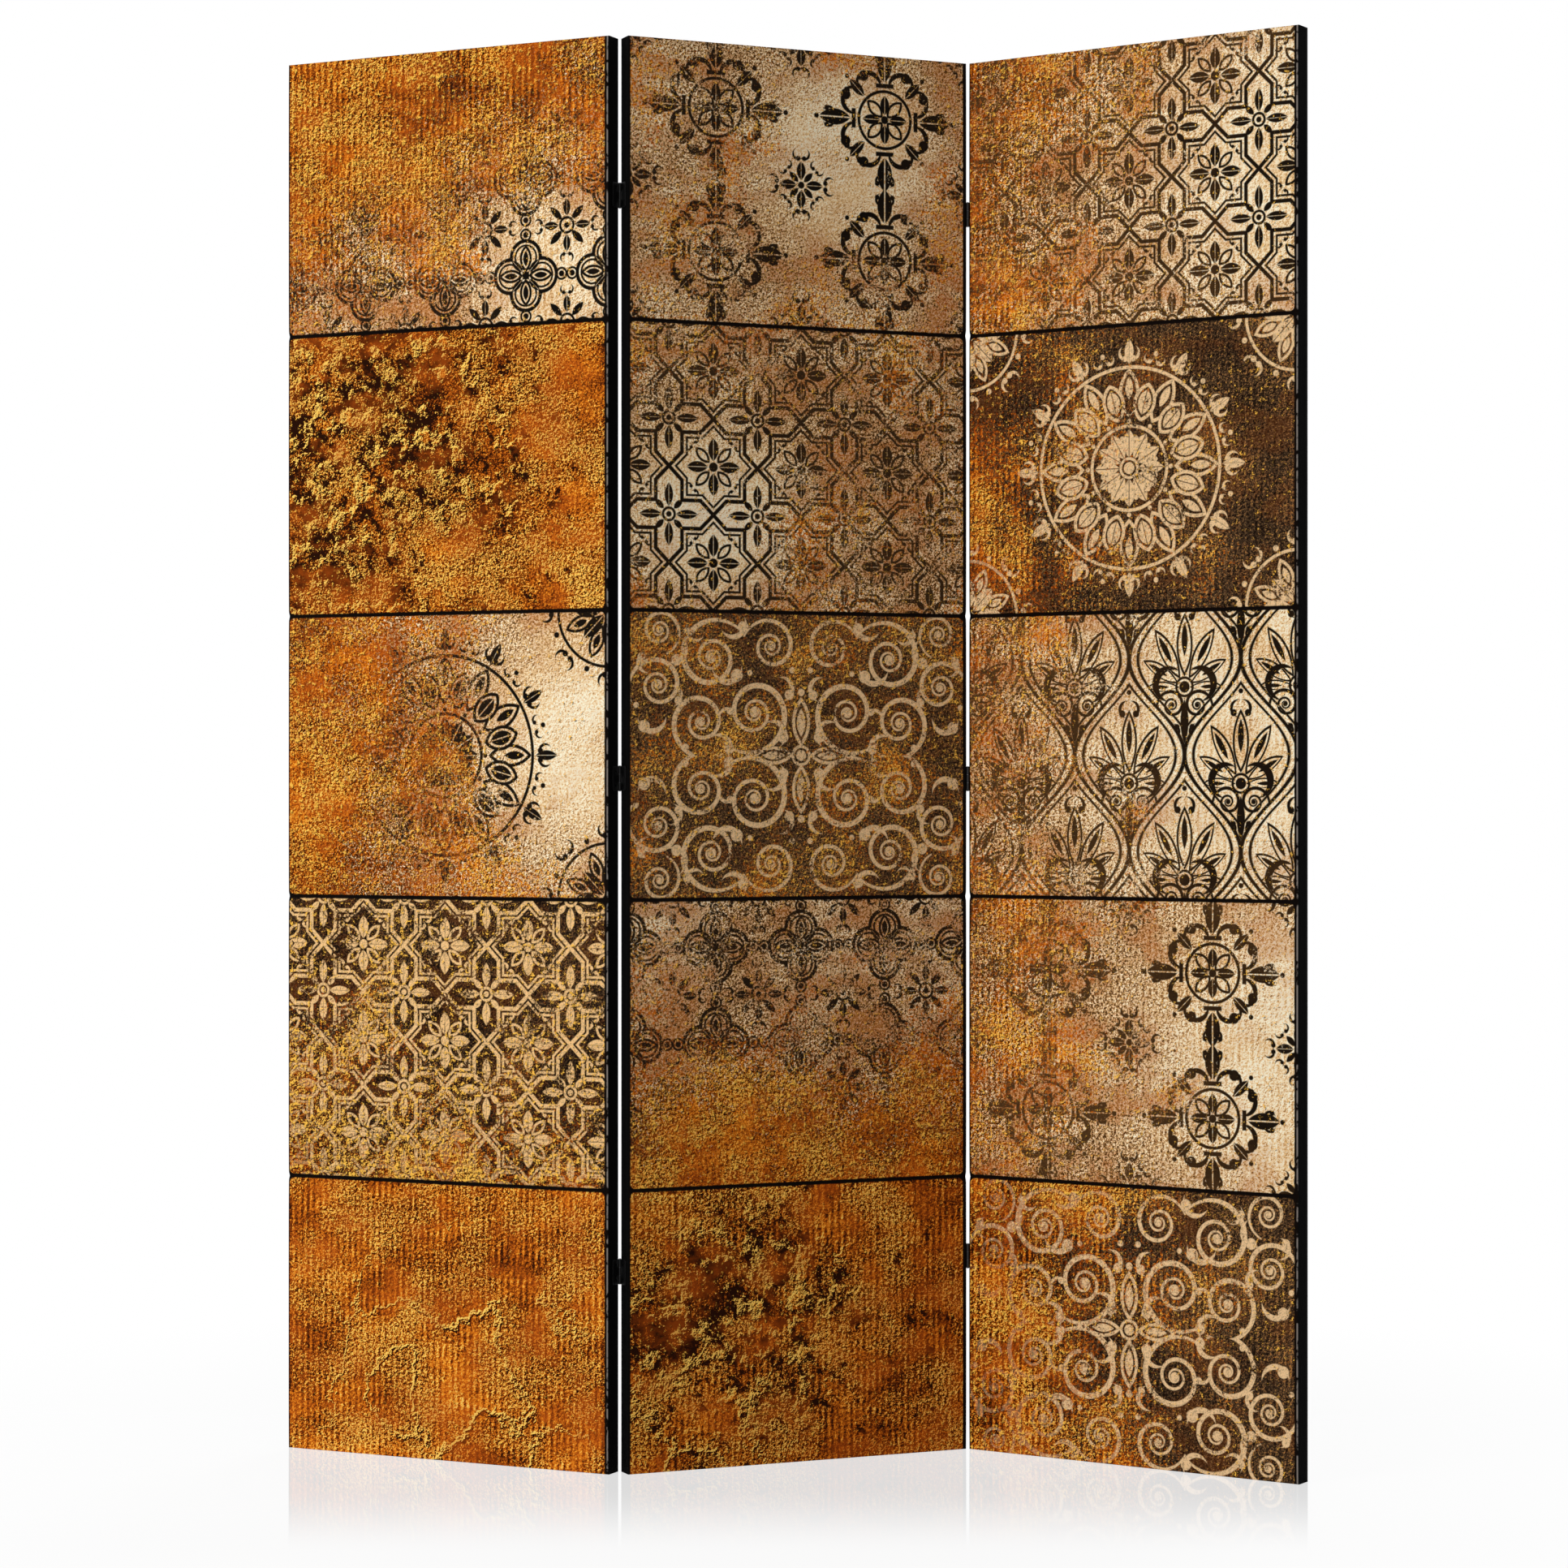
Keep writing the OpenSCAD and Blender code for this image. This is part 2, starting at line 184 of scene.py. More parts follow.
# %% [markdown]
# Four more tools cover nearly all patterns. Places are split into X, Y and Z and put together again. The
# least or the most of some numbers joins shapes or cuts them. A ramp turns a distance into a share of
# colour, with an edge as soft as the real one, and noise gives the wear that nobody draws by hand.


# %% Places, ramps and noise
def point(x, y):
    """A place on the surface from its two coordinates."""
    tree = (x if isinstance(x, Number) else y).tree
    node = tree.nodes.new("ShaderNodeCombineXYZ")
    plug(tree, node.inputs[0], x)
    plug(tree, node.inputs[1], y)
    return Number(tree, node.outputs[0])


def parts(p):
    """The X, Y and Z of a place."""
    node = p.tree.nodes.new("ShaderNodeSeparateXYZ")
    plug(p.tree, node.inputs[0], p)
    return [Number(p.tree, socket) for socket in node.outputs]


def least(*terms):
    """The smallest of some numbers. For distances to strokes, it joins the strokes."""
    result = terms[0]
    for term in terms[1:]:
        result = math_node("MINIMUM", result, term)
    return result


def most(*terms):
    """The largest of some numbers. For distances to strokes, it keeps what they share."""
    result = terms[0]
    for term in terms[1:]:
        result = math_node("MAXIMUM", result, term)
    return result


def ramp_up(value, low, high):
    """0 below low, 1 above high, and a straight ramp between them."""
    return math_node("MULTIPLY_ADD", value, 1 / (high - low), -low / (high - low), clamp=True)


def noise(p, size, detail=2, roughness=0.5):
    """Cloudy noise from 0 to 1 whose clouds are about size millimetres across."""
    node = p.tree.nodes.new("ShaderNodeTexNoise")
    node.noise_dimensions = "2D"
    plug(p.tree, node.inputs["Vector"], p)
    node.inputs["Scale"].default_value = 1 / size
    node.inputs["Detail"].default_value = detail
    node.inputs["Roughness"].default_value = roughness
    return Number(p.tree, node.outputs[0])


print("Places, ramps and noise ready")

# %% [markdown]
# Colours are picked on a screen, as a printer would from a swatch, and turned into the light that
# Blender counts in. A material starts from Blender's main shader and a place in millimetres, which comes
# from the object's own axes: a pattern then keeps its real size and stays on its piece when that moves.

# %% Colours and materials
# The colour sockets of a mix node, which has sockets for numbers and vectors before them
COLOUR_A, COLOUR_B, MIXED_COLOUR = 6, 7, 2


def colour(red, green, blue):
    """A colour picked on a screen, from 0 to 255, as the light that Blender counts in."""
    def light(value):
        value /= 255
        return value / 12.92 if value <= 0.04045 else ((value + 0.055) / 1.055) ** 2.4
    return light(red), light(green), light(blue), 1


def blend(share, first, second):
    """A mix of two colours by a share from 0, all the first, to 1, all the second."""
    node = share.tree.nodes.new("ShaderNodeMix")
    node.data_type = "RGBA"
    for socket, term in ((0, share), (COLOUR_A, first), (COLOUR_B, second)):
        plug(share.tree, node.inputs[socket], term)
    return Number(share.tree, node.outputs[MIXED_COLOUR])


def scale_of(value, *stops):
    """Turns a number into a colour along a scale of (place, colour) stops."""
    node = value.tree.nodes.new("ShaderNodeValToRGB")
    plug(value.tree, node.inputs[0], value)
    marks = node.color_ramp.elements
    while len(marks) < len(stops):
        marks.new(0.5)
    for mark, (place, shade) in zip(marks, stops):
        mark.position = place
        mark.color = shade
    return Number(value.tree, node.outputs[0])


def finish_of(name, roughness=0.6, **settings):
    """A new material with its main shader, and a place in millimetres to build on."""
    material = bpy.data.materials.new(name)
    material.use_nodes = True
    tree = material.node_tree
    shader = tree.nodes["Principled BSDF"]
    shader.inputs["Roughness"].default_value = roughness
    for socket, value in settings.items():
        shader.inputs[socket.replace("_", " ")].default_value = value
    spot = tree.nodes.new("ShaderNodeTexCoord")
    place = vector_node("SCALE", Number(tree, spot.outputs["Object"]))
    place.socket.node.inputs["Scale"].default_value = 1 / MM
    return material, shader, place


def give(shader, socket, value):
    """Lets a number made by nodes drive one socket of a shader."""
    value.tree.links.new(value.socket, shader.inputs[socket])


def raise_surface(shader, height, depth):
    """Bumps the surface by a height from 0 to 1 that stands for a depth in millimetres."""
    node = height.tree.nodes.new("ShaderNodeBump")
    node.inputs["Distance"].default_value = depth * MM
    plug(height.tree, node.inputs["Height"], height)
    height.tree.links.new(node.outputs[0], shader.inputs["Normal"])


print("Middle grey is", round(colour(128, 128, 128)[0], 3), "of white light")

# %% [markdown]
# Ornament could be drawn as a picture and laid on the cloth, but a picture has a size and a formula stays
# sharp from any distance. Each function gives the distance from a place to the edge of a stroke, below
# zero inside it, so strokes join with the least of their distances.


# %% Strokes
def distance(p, x, y):
    """How far a place is from a point."""
    return vector_node("DISTANCE", p, (x, y, 0), output=1)


def disc(p, x, y, r):
    """A round dot."""
    return distance(p, x, y) - r


def line_along(edge, width):
    """A line of some width that follows the edge of a shape."""
    return abs(edge) - width / 2


def ring(p, x, y, r, width):
    """A circle drawn with a line of some width."""
    return line_along(disc(p, x, y, r), width)


def petal(q, start, end, half_width):
    """A pointed petal along X, for a place that is folded about that axis."""
    half = (end - start) / 2
    r = (half * half + half_width * half_width) / (2 * half_width)
    return disc(q, (start + end) / 2, half_width - r, r)


def leaf(q, start, end, half_width, vein=1.1):
    """A solid petal along X with a thin vein left open down its middle."""
    return most(petal(q, start, end, half_width), vein - parts(q)[1])


def crescent(p, x, y, r, hollow_x, hollow_y, hollow_r):
    """A curved leaf with two pointed ends: a disc with another disc cut away."""
    return most(disc(p, x, y, r), hollow_r - distance(p, hollow_x, hollow_y))


def turned(p, x, y, degrees):
    """A place as seen from a point, with X along a direction."""
    across, up, _ = parts(vector_node("SUBTRACT", p, (x, y, 0)))
    along, aside = math.cos(math.radians(degrees)), math.sin(math.radians(degrees))
    return point(across * along + up * aside, up * along - across * aside)


def comma(p, x, y, size, degrees, hand=1):
    """A leaf like a comma, with a round head at a point and a thin tail that bends back to its line."""
    q = turned(p, x, y, degrees)
    tail = crescent(q, 0.45 * size, -0.28 * size * hand, 0.55 * size,
                    0.52 * size, -0.52 * size * hand, 0.62 * size)
    return least(disc(q, 0.06 * size, -0.13 * size * hand, 0.21 * size), tail)


def volute(p, x, y, size, hand=1, turn=0.0, growth=2.3, weight=0.085):
    """A curl that winds in to a round eye. Hand is 1 or -1, and turn moves its tail, in whole turns."""
    arm = vector_node("SUBTRACT", p, (x, y, 0))
    across, up, _ = parts(arm)
    reach = vector_node("LENGTH", arm, output=1)
    around = math_node("MULTIPLY_ADD", math_node("ARCTAN2", up, across), hand / math.tau, turn)
    around = math_node("WRAP", around, 0.5, -0.5)
    out = math_node("LOGARITHM", reach / size, growth)
    lap = out - around
    apart = most(math_node("PINGPONG", lap, 0.5), lap) * math.log(growth)
    width = least(math_node("MULTIPLY_ADD", out, -0.2, 0.11), weight)
    return least((apart - width) * reach, reach - 0.15 * size)


print("Strokes ready")

# %% [markdown]
# Traditional ornament repeats: round a middle, in a grid, or across a diagonal. Instead of drawing each
# copy, the place is folded first, like paper before a star is cut from it. One stroke then shows many
# times, and twelve petals cost as few nodes as one.


# %% Folds
def around_fold(p, count):
    """Folds a place like a paper star of count arms. Gives it from an arm's axis and from a gap's."""
    across, up, _ = parts(p)
    reach = vector_node("LENGTH", p, output=1)
    turn = math_node("PINGPONG", math_node("ARCTAN2", up, across), math.pi / count)

    def place(angle):
        way = point(math_node("COSINE", angle), math_node("SINE", angle))
        folded = vector_node("SCALE", way)
        plug(p.tree, folded.socket.node.inputs["Scale"], reach)
        return folded

    return place(turn), place(math.pi / count - turn)


def grid_fold(p, width, height):
    """Folds a place into a quarter of a cell that repeats by width and height."""
    across, up, _ = parts(p)
    return math_node("PINGPONG", across, width / 2), math_node("PINGPONG", up, height / 2)


def diagonal_fold(u, v):
    """Folds a quarter of a cell about its diagonal. Gives it from the axis and from the diagonal."""
    return point(most(u, v), least(u, v)), point((u + v) * math.sqrt(0.5), abs(u - v) * math.sqrt(0.5))


print("Folds ready")

# %% [markdown]
# Six traditional ornaments fill the patches of the print: a round rosette, an ogee net with palmettes,
# eight-pointed stars and crosses, quatrefoils, scrolls, and crossed lilies. Each is a short list of
# strokes in millimetres, about the middle of its patch. The rosette comes first: a flower of twelve arms.


# %% Rosettes
def rosette(p):
    """A round lotus rosette with twelve arms and a rim of small leaves, 310 mm across."""
    arm, gap = around_fold(p, 12)
    near = petal(gap, 60, 103, 13)
    heart = least(disc(arm, 0, 0, 6.5), ring(arm, 0, 0, 11.5, 2.2), leaf(arm, 14, 46, 7.4),
                  disc(gap, 37, 0, 2.4), ring(arm, 0, 0, 51, 3.0), disc(arm, 56.5, 0, 2.2))
    petals = least(line_along(near, 3.0), leaf(gap, 67, 96, 8.2),
                   most(line_along(petal(arm, 64, 118, 12), 3.0), 0 - near),
                   most(petal(arm, 84, 110, 4.6), 0 - near))
    rim = least(ring(arm, 0, 0, 122, 3.0), comma(arm, 131, 7, 15, 24), comma(gap, 129, 6, 10, 60),
                leaf(arm, 127, 155, 5.5, vein=0.7), disc(gap, 141, 0, 2.6))
    return least(heart, petals, rim)


def rosette_corners(p):
    """The rosette with a quarter of a smaller star flower in each corner of the patch."""
    across, up, _ = parts(p)
    corner = point(PANEL_W / 2 - abs(across), PITCH / 2 - abs(up))
    arm, gap = around_fold(corner, 8)
    flower = least(disc(arm, 0, 0, 6), leaf(arm, 10, 46, 8.5), line_along(petal(gap, 22, 60, 8.0), 2.4),
                   petal(gap, 32, 50, 3.6), ring(arm, 0, 0, 68, 2.6), comma(arm, 76, 6, 15, 30),
                   disc(gap, 76, 0, 3.0))
    return least(rosette(p), flower)


print("Rosettes ready")

# %% [markdown]
# A net repeats one cell over the whole patch, as printed cotton does. Only a quarter of a cell is drawn,
# or an eighth where it is the same across its diagonal, and each border is the edge of one large shape.


# %% Nets
def ogee_net(p, width=150, height=231.6):
    """A net of ogee meshes with a palmette fan and two curls in each."""
    across, up, _ = parts(p)
    u = math_node("PINGPONG", across, width / 2)
    v = math_node("WRAP", up, height / 2, -height / 2)
    edge = u - math_node("MULTIPLY_ADD", math_node("COSINE", v * (math.tau / height)), width / 4, width / 4)
    other = math_node("GREATER_THAN", edge, 0)
    way = math_node("SIGN", v)
    u = u + other * (width / 2 - 2 * u)
    v = v - other * way * (height / 2)
    border = abs(edge) * 0.62
    p = point(u, v)
    angle = math_node("ARCTAN2", u, v + 34)
    reach = distance(p, 0, -34) * math_node("MULTIPLY_ADD", math_node("COSINE", angle), -0.75, 1.75)
    lean = math_node("PINGPONG", angle, math.radians(15))
    fan = vector_node("SCALE", point(math_node("COSINE", lean), math_node("SINE", lean)))
    plug(p.tree, fan.socket.node.inputs["Scale"], reach)
    below = math_node("MULTIPLY_ADD", angle, 30, -52.0)
    leaves = most(least(line_along(petal(fan, 15, 86, 9.6), 1.9), petal(fan, 38, 76, 3.6)), below)
    return least(line_along(border, 2.7), line_along(border - 7.4, 1.6), leaves,
                 disc(p, 0, -34, 6.5), ring(p, 0, -34, 11, 2.2),
                 volute(p, 17, -56, 16, hand=-1, turn=0.3, weight=0.12),
                 crescent(p, 22, -30, 21, 15, -33, 20),
                 most(petal(point(v, u), -102, -50, 5.0), v), comma(p, 8, -82, 16, -70, hand=-1),
                 comma(p, 12, 50, 18, 112, hand=-1), disc(p, 0, 76, 2.6))


def star_net(p, size=115.8):
    """Eight-pointed stars that touch, with crosses between them and a flower in each."""
    u, v = grid_fold(p, size, size)
    axis, diagonal = diagonal_fold(u, v)
    far_u, far_v = size / 2 - u, size / 2 - v
    cross, cross_diagonal = diagonal_fold(far_u, far_v)
    half = size / 2 / math.sqrt(2)
    star = least(most(u, v) - half, math_node("MULTIPLY", u + v, math.sqrt(0.5)) - half)
    flower = least(disc(axis, 0, 0, 5.2), leaf(axis, 8, 34, 6.2, vein=0.8),
                   line_along(petal(diagonal, 9, 31, 5.0), 2.0), comma(diagonal, 36, 4, 8, 60))
    between = least(ring(cross, 0, 0, 7.5, 2.2), disc(cross, 0, 0, 3), leaf(cross, 10, 37, 5.0, vein=0.7),
                    petal(cross_diagonal, 10, 24, 3.2))
    return least(line_along(star, 3.8), line_along(star + 6.4, 1.8), flower, between)


def quatrefoil_net(p, size=112.5):
    """Four-lobed frames set corner to corner, with a flower in each and a knot between them."""
    u, v = grid_fold(p, size, PITCH / 3)
    axis, diagonal = diagonal_fold(u, v)
    knot, knot_diagonal = diagonal_fold(size / 2 - u, PITCH / 6 - v)
    lobes = disc(axis, 22, 0, 20)
    inner = least(disc(axis, 0, 0, 4.6), line_along(petal(axis, 6, 35, 6.6), 2.2),
                  petal(axis, 12, 29, 3.2), leaf(diagonal, 7, 26, 3.6, vein=0.6),
                  disc(diagonal, 30, 0, 1.8))
    outer = least(disc(knot, 0, 0, 3.2), ring(knot, 0, 0, 9, 2.2), leaf(knot, 12, 31, 4.4, vein=0.7),
                  petal(knot_diagonal, 10, 31, 3.8), comma(knot, 34, 5, 9, 20), disc(axis, 49, 0, 3.2),
                  ring(axis, 49, 0, 6.6, 1.7))
    return least(line_along(lobes, 3.6), line_along(lobes + 5.6, 1.6), inner, outer)


print("Nets ready")

# %% [markdown]
# Scrolls and lilies are made of curls. A curl that grows by the same share in each turn is a straight line
# once its distance is read on a logarithmic scale, so one formula draws it down to its eye. Leaves like
# commas fill the corners between the curls, as a carver would.


# %% Scrolls and lilies
def scrolls(p):
    """Curls and leaves that spring from a cartouche, mirrored about both axes of the patch."""
    across, up, _ = parts(p)
    u, v = abs(across), abs(up)
    q = point(u, v)
    axis = point(v, u)
    middle = least(disc(q, 0, 0, 6), ring(q, 0, 0, 11, 2.4), line_along(petal(q, 14, 60, 9), 2.8),
                   petal(q, 22, 50, 4.4), line_along(petal(axis, 14, 68, 10), 2.8),
                   petal(axis, 24, 56, 5.0), disc(axis, 77, 0, 4.0), disc(q, 69, 0, 3.4),
                   comma(q, 20, 24, 30, 40), comma(q, 12, 74, 26, 62))
    curls = least(volute(q, 62, 52, 36, hand=1, turn=0.62), volute(q, 132, 40, 31, hand=-1, turn=0.15),
                  volute(q, 118, 118, 34, hand=1, turn=0.1), volute(q, 40, 132, 25, hand=-1, turn=0.55),
                  volute(q, 188, 84, 27, hand=-1, turn=0.4), volute(q, 186, 150, 20, hand=1, turn=0.8))
    leaves = least(comma(q, 84, 92, 34, 10, hand=-1), comma(q, 160, 112, 30, 100),
                   comma(q, 92, 10, 28, 35), comma(q, 74, 152, 30, -12, hand=-1),
                   comma(q, 206, 30, 32, 160), comma(q, 158, 66, 22, 60), comma(q, 94, 56, 18, -30),
                   comma(q, 152, 146, 22, 200), comma(q, 212, 118, 22, 250), disc(q, 152, 10, 3.4),
                   disc(q, 12, 104, 3.2), disc(q, 68, 100, 2.8), disc(q, 216, 60, 3.0))
    return least(middle, curls, leaves)


def lilies(p, width=225, height=173.7):
    """Crosses of four lilies with curled side leaves, and a small star flower between them."""
    u, v = grid_fold(vector_node("ADD", p, (width / 2, height / 2, 0)), width, height)
    axis, diagonal = diagonal_fold(u, v)
    small, small_diagonal = diagonal_fold(width / 2 - u, height / 2 - v)
    along, aside, _ = parts(axis)
    band = most(abs(along - 42) - 2.2, aside - 11.5)
    lily = least(leaf(axis, 47, 88, 9.5, vein=1.3), comma(axis, 57, 28, 29, -122), band,
                 comma(axis, 78, 12, 13, 215, hand=-1), disc(axis, 92, 0, 2.6))
    heart = least(disc(axis, 0, 0, 4.5), leaf(axis, 7, 29, 5.6, vein=0.8),
                  line_along(petal(diagonal, 6, 31, 6.4), 2.2), leaf(diagonal, 40, 66, 5.6, vein=0.8),
                  comma(diagonal, 62, 11, 17, -150), disc(diagonal, 72, 0, 2.4), ring(axis, 0, 0, 35, 2.8))
    star = least(disc(small, 0, 0, 3.8), leaf(small, 7, 28, 5.4, vein=0.7),
                 petal(small_diagonal, 6, 21, 3.2), comma(small, 31, 5, 12, 30),
                 comma(small_diagonal, 25, 4, 9, 45))
    return least(lily, heart, star)


print("Scrolls and lilies ready")

# %% [markdown]
# The ground of the print looks like old gilded plaster, parchment and dark umber. Each is a scale of
# colours from its darkest place to its brightest. A number from 0 to 1 picks the colour, so the same
# arithmetic can shade all three.

# %% Colours of the print
GOLD = [(0.0, colour(34, 10, 1)), (0.2, colour(92, 36, 5)), (0.4, colour(152, 71, 12)),
        (0.56, colour(198, 101, 18)), (0.74, colour(238, 138, 32)), (0.9, colour(255, 180, 56)),
        (1.0, colour(255, 214, 104))]
PARCHMENT = [(0.0, colour(70, 40, 16)), (0.24, colour(150, 100, 52)), (0.46, colour(212, 162, 104)),
             (0.66, colour(242, 206, 150)), (1.0, colour(255, 246, 220))]
UMBER = [(0.0, colour(18, 8, 2)), (0.3, colour(54, 38, 24)), (0.6, colour(84, 64, 44)),
         (1.0, colour(190, 132, 70))]
BURNT, RUST, DARK_RUST = colour(194, 88, 20), colour(186, 112, 50), colour(122, 66, 26)
LEAF_GOLD, LEAF_SHADOW = colour(255, 196, 78), colour(44, 16, 1)
# The pale fold colour is a painted highlight, where the rounded right edge of a panel catches the light.
SEAM_INK, FOLD_HIGHLIGHT, BLACK_SIDE = colour(10, 5, 3), colour(150, 140, 132), colour(3, 3, 3)
# Inks of the ornament, from 0 to 255
SEPIA, DUN, BROWN, CREAM, STRAW = (38, 26, 15), (58, 40, 22), (80, 54, 28), (240, 202, 152), (246, 200, 138)
print("Stops on the scales:", len(GOLD), len(PARCHMENT), len(UMBER))

# %% [markdown]
# Grains, ribs, lumps and veins have a bright side and a dark side. On the cloth this relief is only ink,
# which stays the same under any lamp, so a bump in the surface would be wrong. It is painted as an artist
# would: take one height map, move it a little towards the light, and subtract.

# %% Painted relief
# Steps towards the painted light, in millimetres: for the relief, a lump's shadow, and a fleck's
TOWARDS_LIGHT, LUMP_SHADOW, FLECK_SHADOW = (-0.75, 0.8, 0), (-2.6, 2.8, 0), (-1.4, 1.5, 0)
RIB_PITCH = 8.6


def clumps(p):
    """1 on the lumps of a crust and 0 between them."""
    return ramp_up(noise(p, 30, 5, 0.68), 0.55, 0.63)


def height_of(p, sandy, sand, ribs, crusted, veined):
    """The height of the painted relief, as a sum of grains, broken ribs, lumps and veins."""
    across, _, _ = parts(p)
    mid = noise(p, 17, 3, 0.6)
    total = noise(p, 4.6, 3, 0.85) * (sandy * sand) + mid * 1.1
    if ribs:
        total = total + math_node("SINE", across * (math.tau / RIB_PITCH)) * ramp_up(mid, 0.35, 0.7) * ribs
    if crusted:
        total = total + clumps(p) * crusted * 5.0
    if veined:
        wander = (noise(p, 16, 3, 0.7) - 0.5) * 0.16
        seam = abs(noise(p, 130, 1, 0.5) - 0.5 + wander) / (veined * 0.03 + 0.004)
        total = total + ramp_up(seam, 1.0, 0.1) * veined * (noise(p, 9, 3, 0.7) * 7.0 + 0.5)
    return total


def painted_light(p, **relief):
    """Above zero where the relief faces the light, below zero where it turns away."""
    return height_of(p, **relief) - height_of(vector_node("ADD", p, TOWARDS_LIGHT), **relief)


print("Painted relief ready")

# %% [markdown]
# Old gold is never even. Sandy and smooth areas lie side by side, smears run across it, and in places a
# crust of lumps has broken away and left dark pits. A lump throws a wider shadow than a grain: it is the
# part of the moved lump that the lump itself doesn't cover.


# %% Gilding
def near_place(local, clouds, x, y, reach, unrest, inner):
    """1 round a place on a patch and 0 beyond its reach, with a cloudy edge."""
    return ramp_up(distance(local, x, y) + (clouds - 0.5) * (reach * unrest), reach, reach * inner)


def gilding(p, local, clouds, stain, tones, sand, ribs, veins, crust):
    """Gives the gold's colour, the painted light on it, and how sandy each place is.

    Veins and crust are each None or (x, y, reach): a place on the patch and how far from it they go.
    """
    sandy = math_node("MULTIPLY_ADD", ramp_up(noise(p, 75, 3, 0.6), 0.38, 0.6), 0.8, 0.25)
    crusted = pits = None
    if crust:
        crusted = near_place(local, clouds, *crust, unrest=1.4, inner=0.2)
        here, sunward = clumps(p), clumps(vector_node("ADD", p, LUMP_SHADOW))
        pits = ramp_up(noise(p, 24, 5, 0.72) - crusted * 0.135, 0.39, 0.345) * (1.0 - here)
        rim, shadow = here * (1.0 - sunward), sunward * (1.0 - here)
        tones = tones + crusted * (rim * 0.3 - shadow * 0.6 + here * 0.4 - 0.24)
        sandy = sandy + crusted * 0.3
    veined = near_place(local, clouds, *veins, unrest=1, inner=0) if veins else None
    light = painted_light(p, sandy=sandy, sand=sand, ribs=ribs, crusted=crusted, veined=veined)
    smears = noise(vector_node("MULTIPLY", p, (0.4, 1, 1)), 21, 4, 0.62) - 0.5
    grains = (noise(p, 3.2, 2, 0.9) - 0.5) * (sandy * (1.3 * sand) + 0.6)
    level = tones + smears * 0.5 + grains
    if pits:
        level = level - pits * (grains + 0.6)
        light = light * (1.0 - pits * 0.6)
    gold = scale_of(math_node("MULTIPLY_ADD", light, 1.4, level, clamp=True), *GOLD)
    return blend(ramp_up(stain, 0.48, 0.66) * 0.45, gold, BURNT), light, sandy


def gold_cover(local, clouds, bright, gold_share, gold_from):
    """Above zero in the gilded part of a patch, and below zero outside it."""
    if gold_from:
        across, up, _ = parts(local)
        slope_x, slope_y, shift = gold_from
        cover = clouds * 2.2 + across * (slope_x / PANEL_W) + up * (slope_y / PITCH) + (shift - 1.1)
    else:
        cover = clouds * 2.2 + (gold_share - 1.6)
    return cover - bright * 0.8 if bright else cover


def with_flecks(picture, p, share):
    """Adds specks of loose gold leaf, each with a shadow, denser where the share is high."""
    def flecks(place):
        return ramp_up(noise(place, 7.0, 4, 0.8) + share, 0.66, 0.70)

    lit, shaded = flecks(p), flecks(vector_node("ADD", p, FLECK_SHADOW))
    return blend(lit * 0.95, blend(shaded * 0.85, picture, LEAF_SHADOW), LEAF_GOLD)


print("Gilding ready")

# %% [markdown]
# Parchment and umber lie under the gold. Fine mottling and stains of rust keep them from looking printed
# flat, and a bright place stays cleaner. The ornament is stamped on them in ink, which is worn away where
# noise is low and buried where gold lies over it.


# %% Ground and ink
def aged_ground(on_parchment, tones, mottle, light, stain, bright):
    """Mottled parchment or umber with stains of rust."""
    if on_parchment:
        scale, rust, mottled, rusted = PARCHMENT, RUST, 1, 0.65
    else:
        scale, rust, mottled, rusted = UMBER, DARK_RUST, 0.65, 0.3
    ground = scale_of(math_node("MULTIPLY_ADD", light, 0.9, tones + mottle * mottled, clamp=True), *scale)
    rusty = ramp_up(stain + mottle * 0.16, 0.5, 0.6) * rusted
    if bright:
        rusty = rusty * (1.0 - bright * 0.8)
    return blend(rusty, ground, rust)


def stamped(picture, ornament, ink, faded, p, local, light, bright, gilt, cover):
    """Stamps an ornament on a ground in ink that is worn, and partly buried in gold."""
    shape = math_node("MULTIPLY_ADD", ornament(local), -0.9, 1.0, clamp=True)
    thin, deep = [channel * 0.76 for channel in ink], [channel * 0.3 for channel in ink]
    shade = blend(ramp_up(noise(p, 4.6, 3, 0.9) + light * 0.35, 0.3, 0.52), colour(*thin), colour(*ink))
    worn = noise(p, 3.4, 3, 0.7) + (noise(p, 46, 3, 0.6) - 0.5) * 1.2
    if bright:
        worn = worn + bright * 0.3
        shade = blend(bright, shade, colour(*deep))
    buried = (1.0 - gilt * 0.6) * (1.0 - ramp_up(cover, 0.2, 1.0) * 0.8)
    return blend(shape * buried * ramp_up(worn, faded - 0.07, faded + 0.07), picture, shade)


print("Ground and ink ready")

# %% [markdown]
# Dark ink runs along the channels and the panel's edges, as where a printer lets the print bleed into the
# fold. One rounded rectangle for each field gives it, with a wobble so that no line is ruled. Where the
# print turns over the panel's side, a pale broken line down the right fold is a painted highlight of the
# rounded edge catching the light, and a weave of fine threads lies under everything.

# %% Seams, folds and weave
WEAVE_PITCH, WEAVE_DEPTH = 0.9, 0.12
# Inked margins at the sides and at the channels, how far the ink lies off the middle, and its corners
SIDE_MARGIN, SEAM_MARGIN, OFF_MIDDLE, CORNER = 3.6, 2.4, 1.6, 6


def edges_and_seams(across, height, p):
    """Dark ink along the channels and down both edges of a panel, with rounded corners."""
    row = math_node("WRAP", height - (CHANNELS[0] - PITCH / 2), PITCH / 2, -PITCH / 2)
    wobble = (noise(p, 9, 2, 0.6) - 0.5) * 3.0
    over_x = most(abs(across + OFF_MIDDLE) - (PANEL_W / 2 - SIDE_MARGIN - CORNER), 0)
    over_z = most(abs(row) - (PITCH / 2 - SEAM_MARGIN - CORNER), 0)
    inset = math_node("SQRT", over_x * over_x + over_z * over_z) - CORNER + wobble * 0.35
    return ramp_up(inset, -0.7, 0.5)


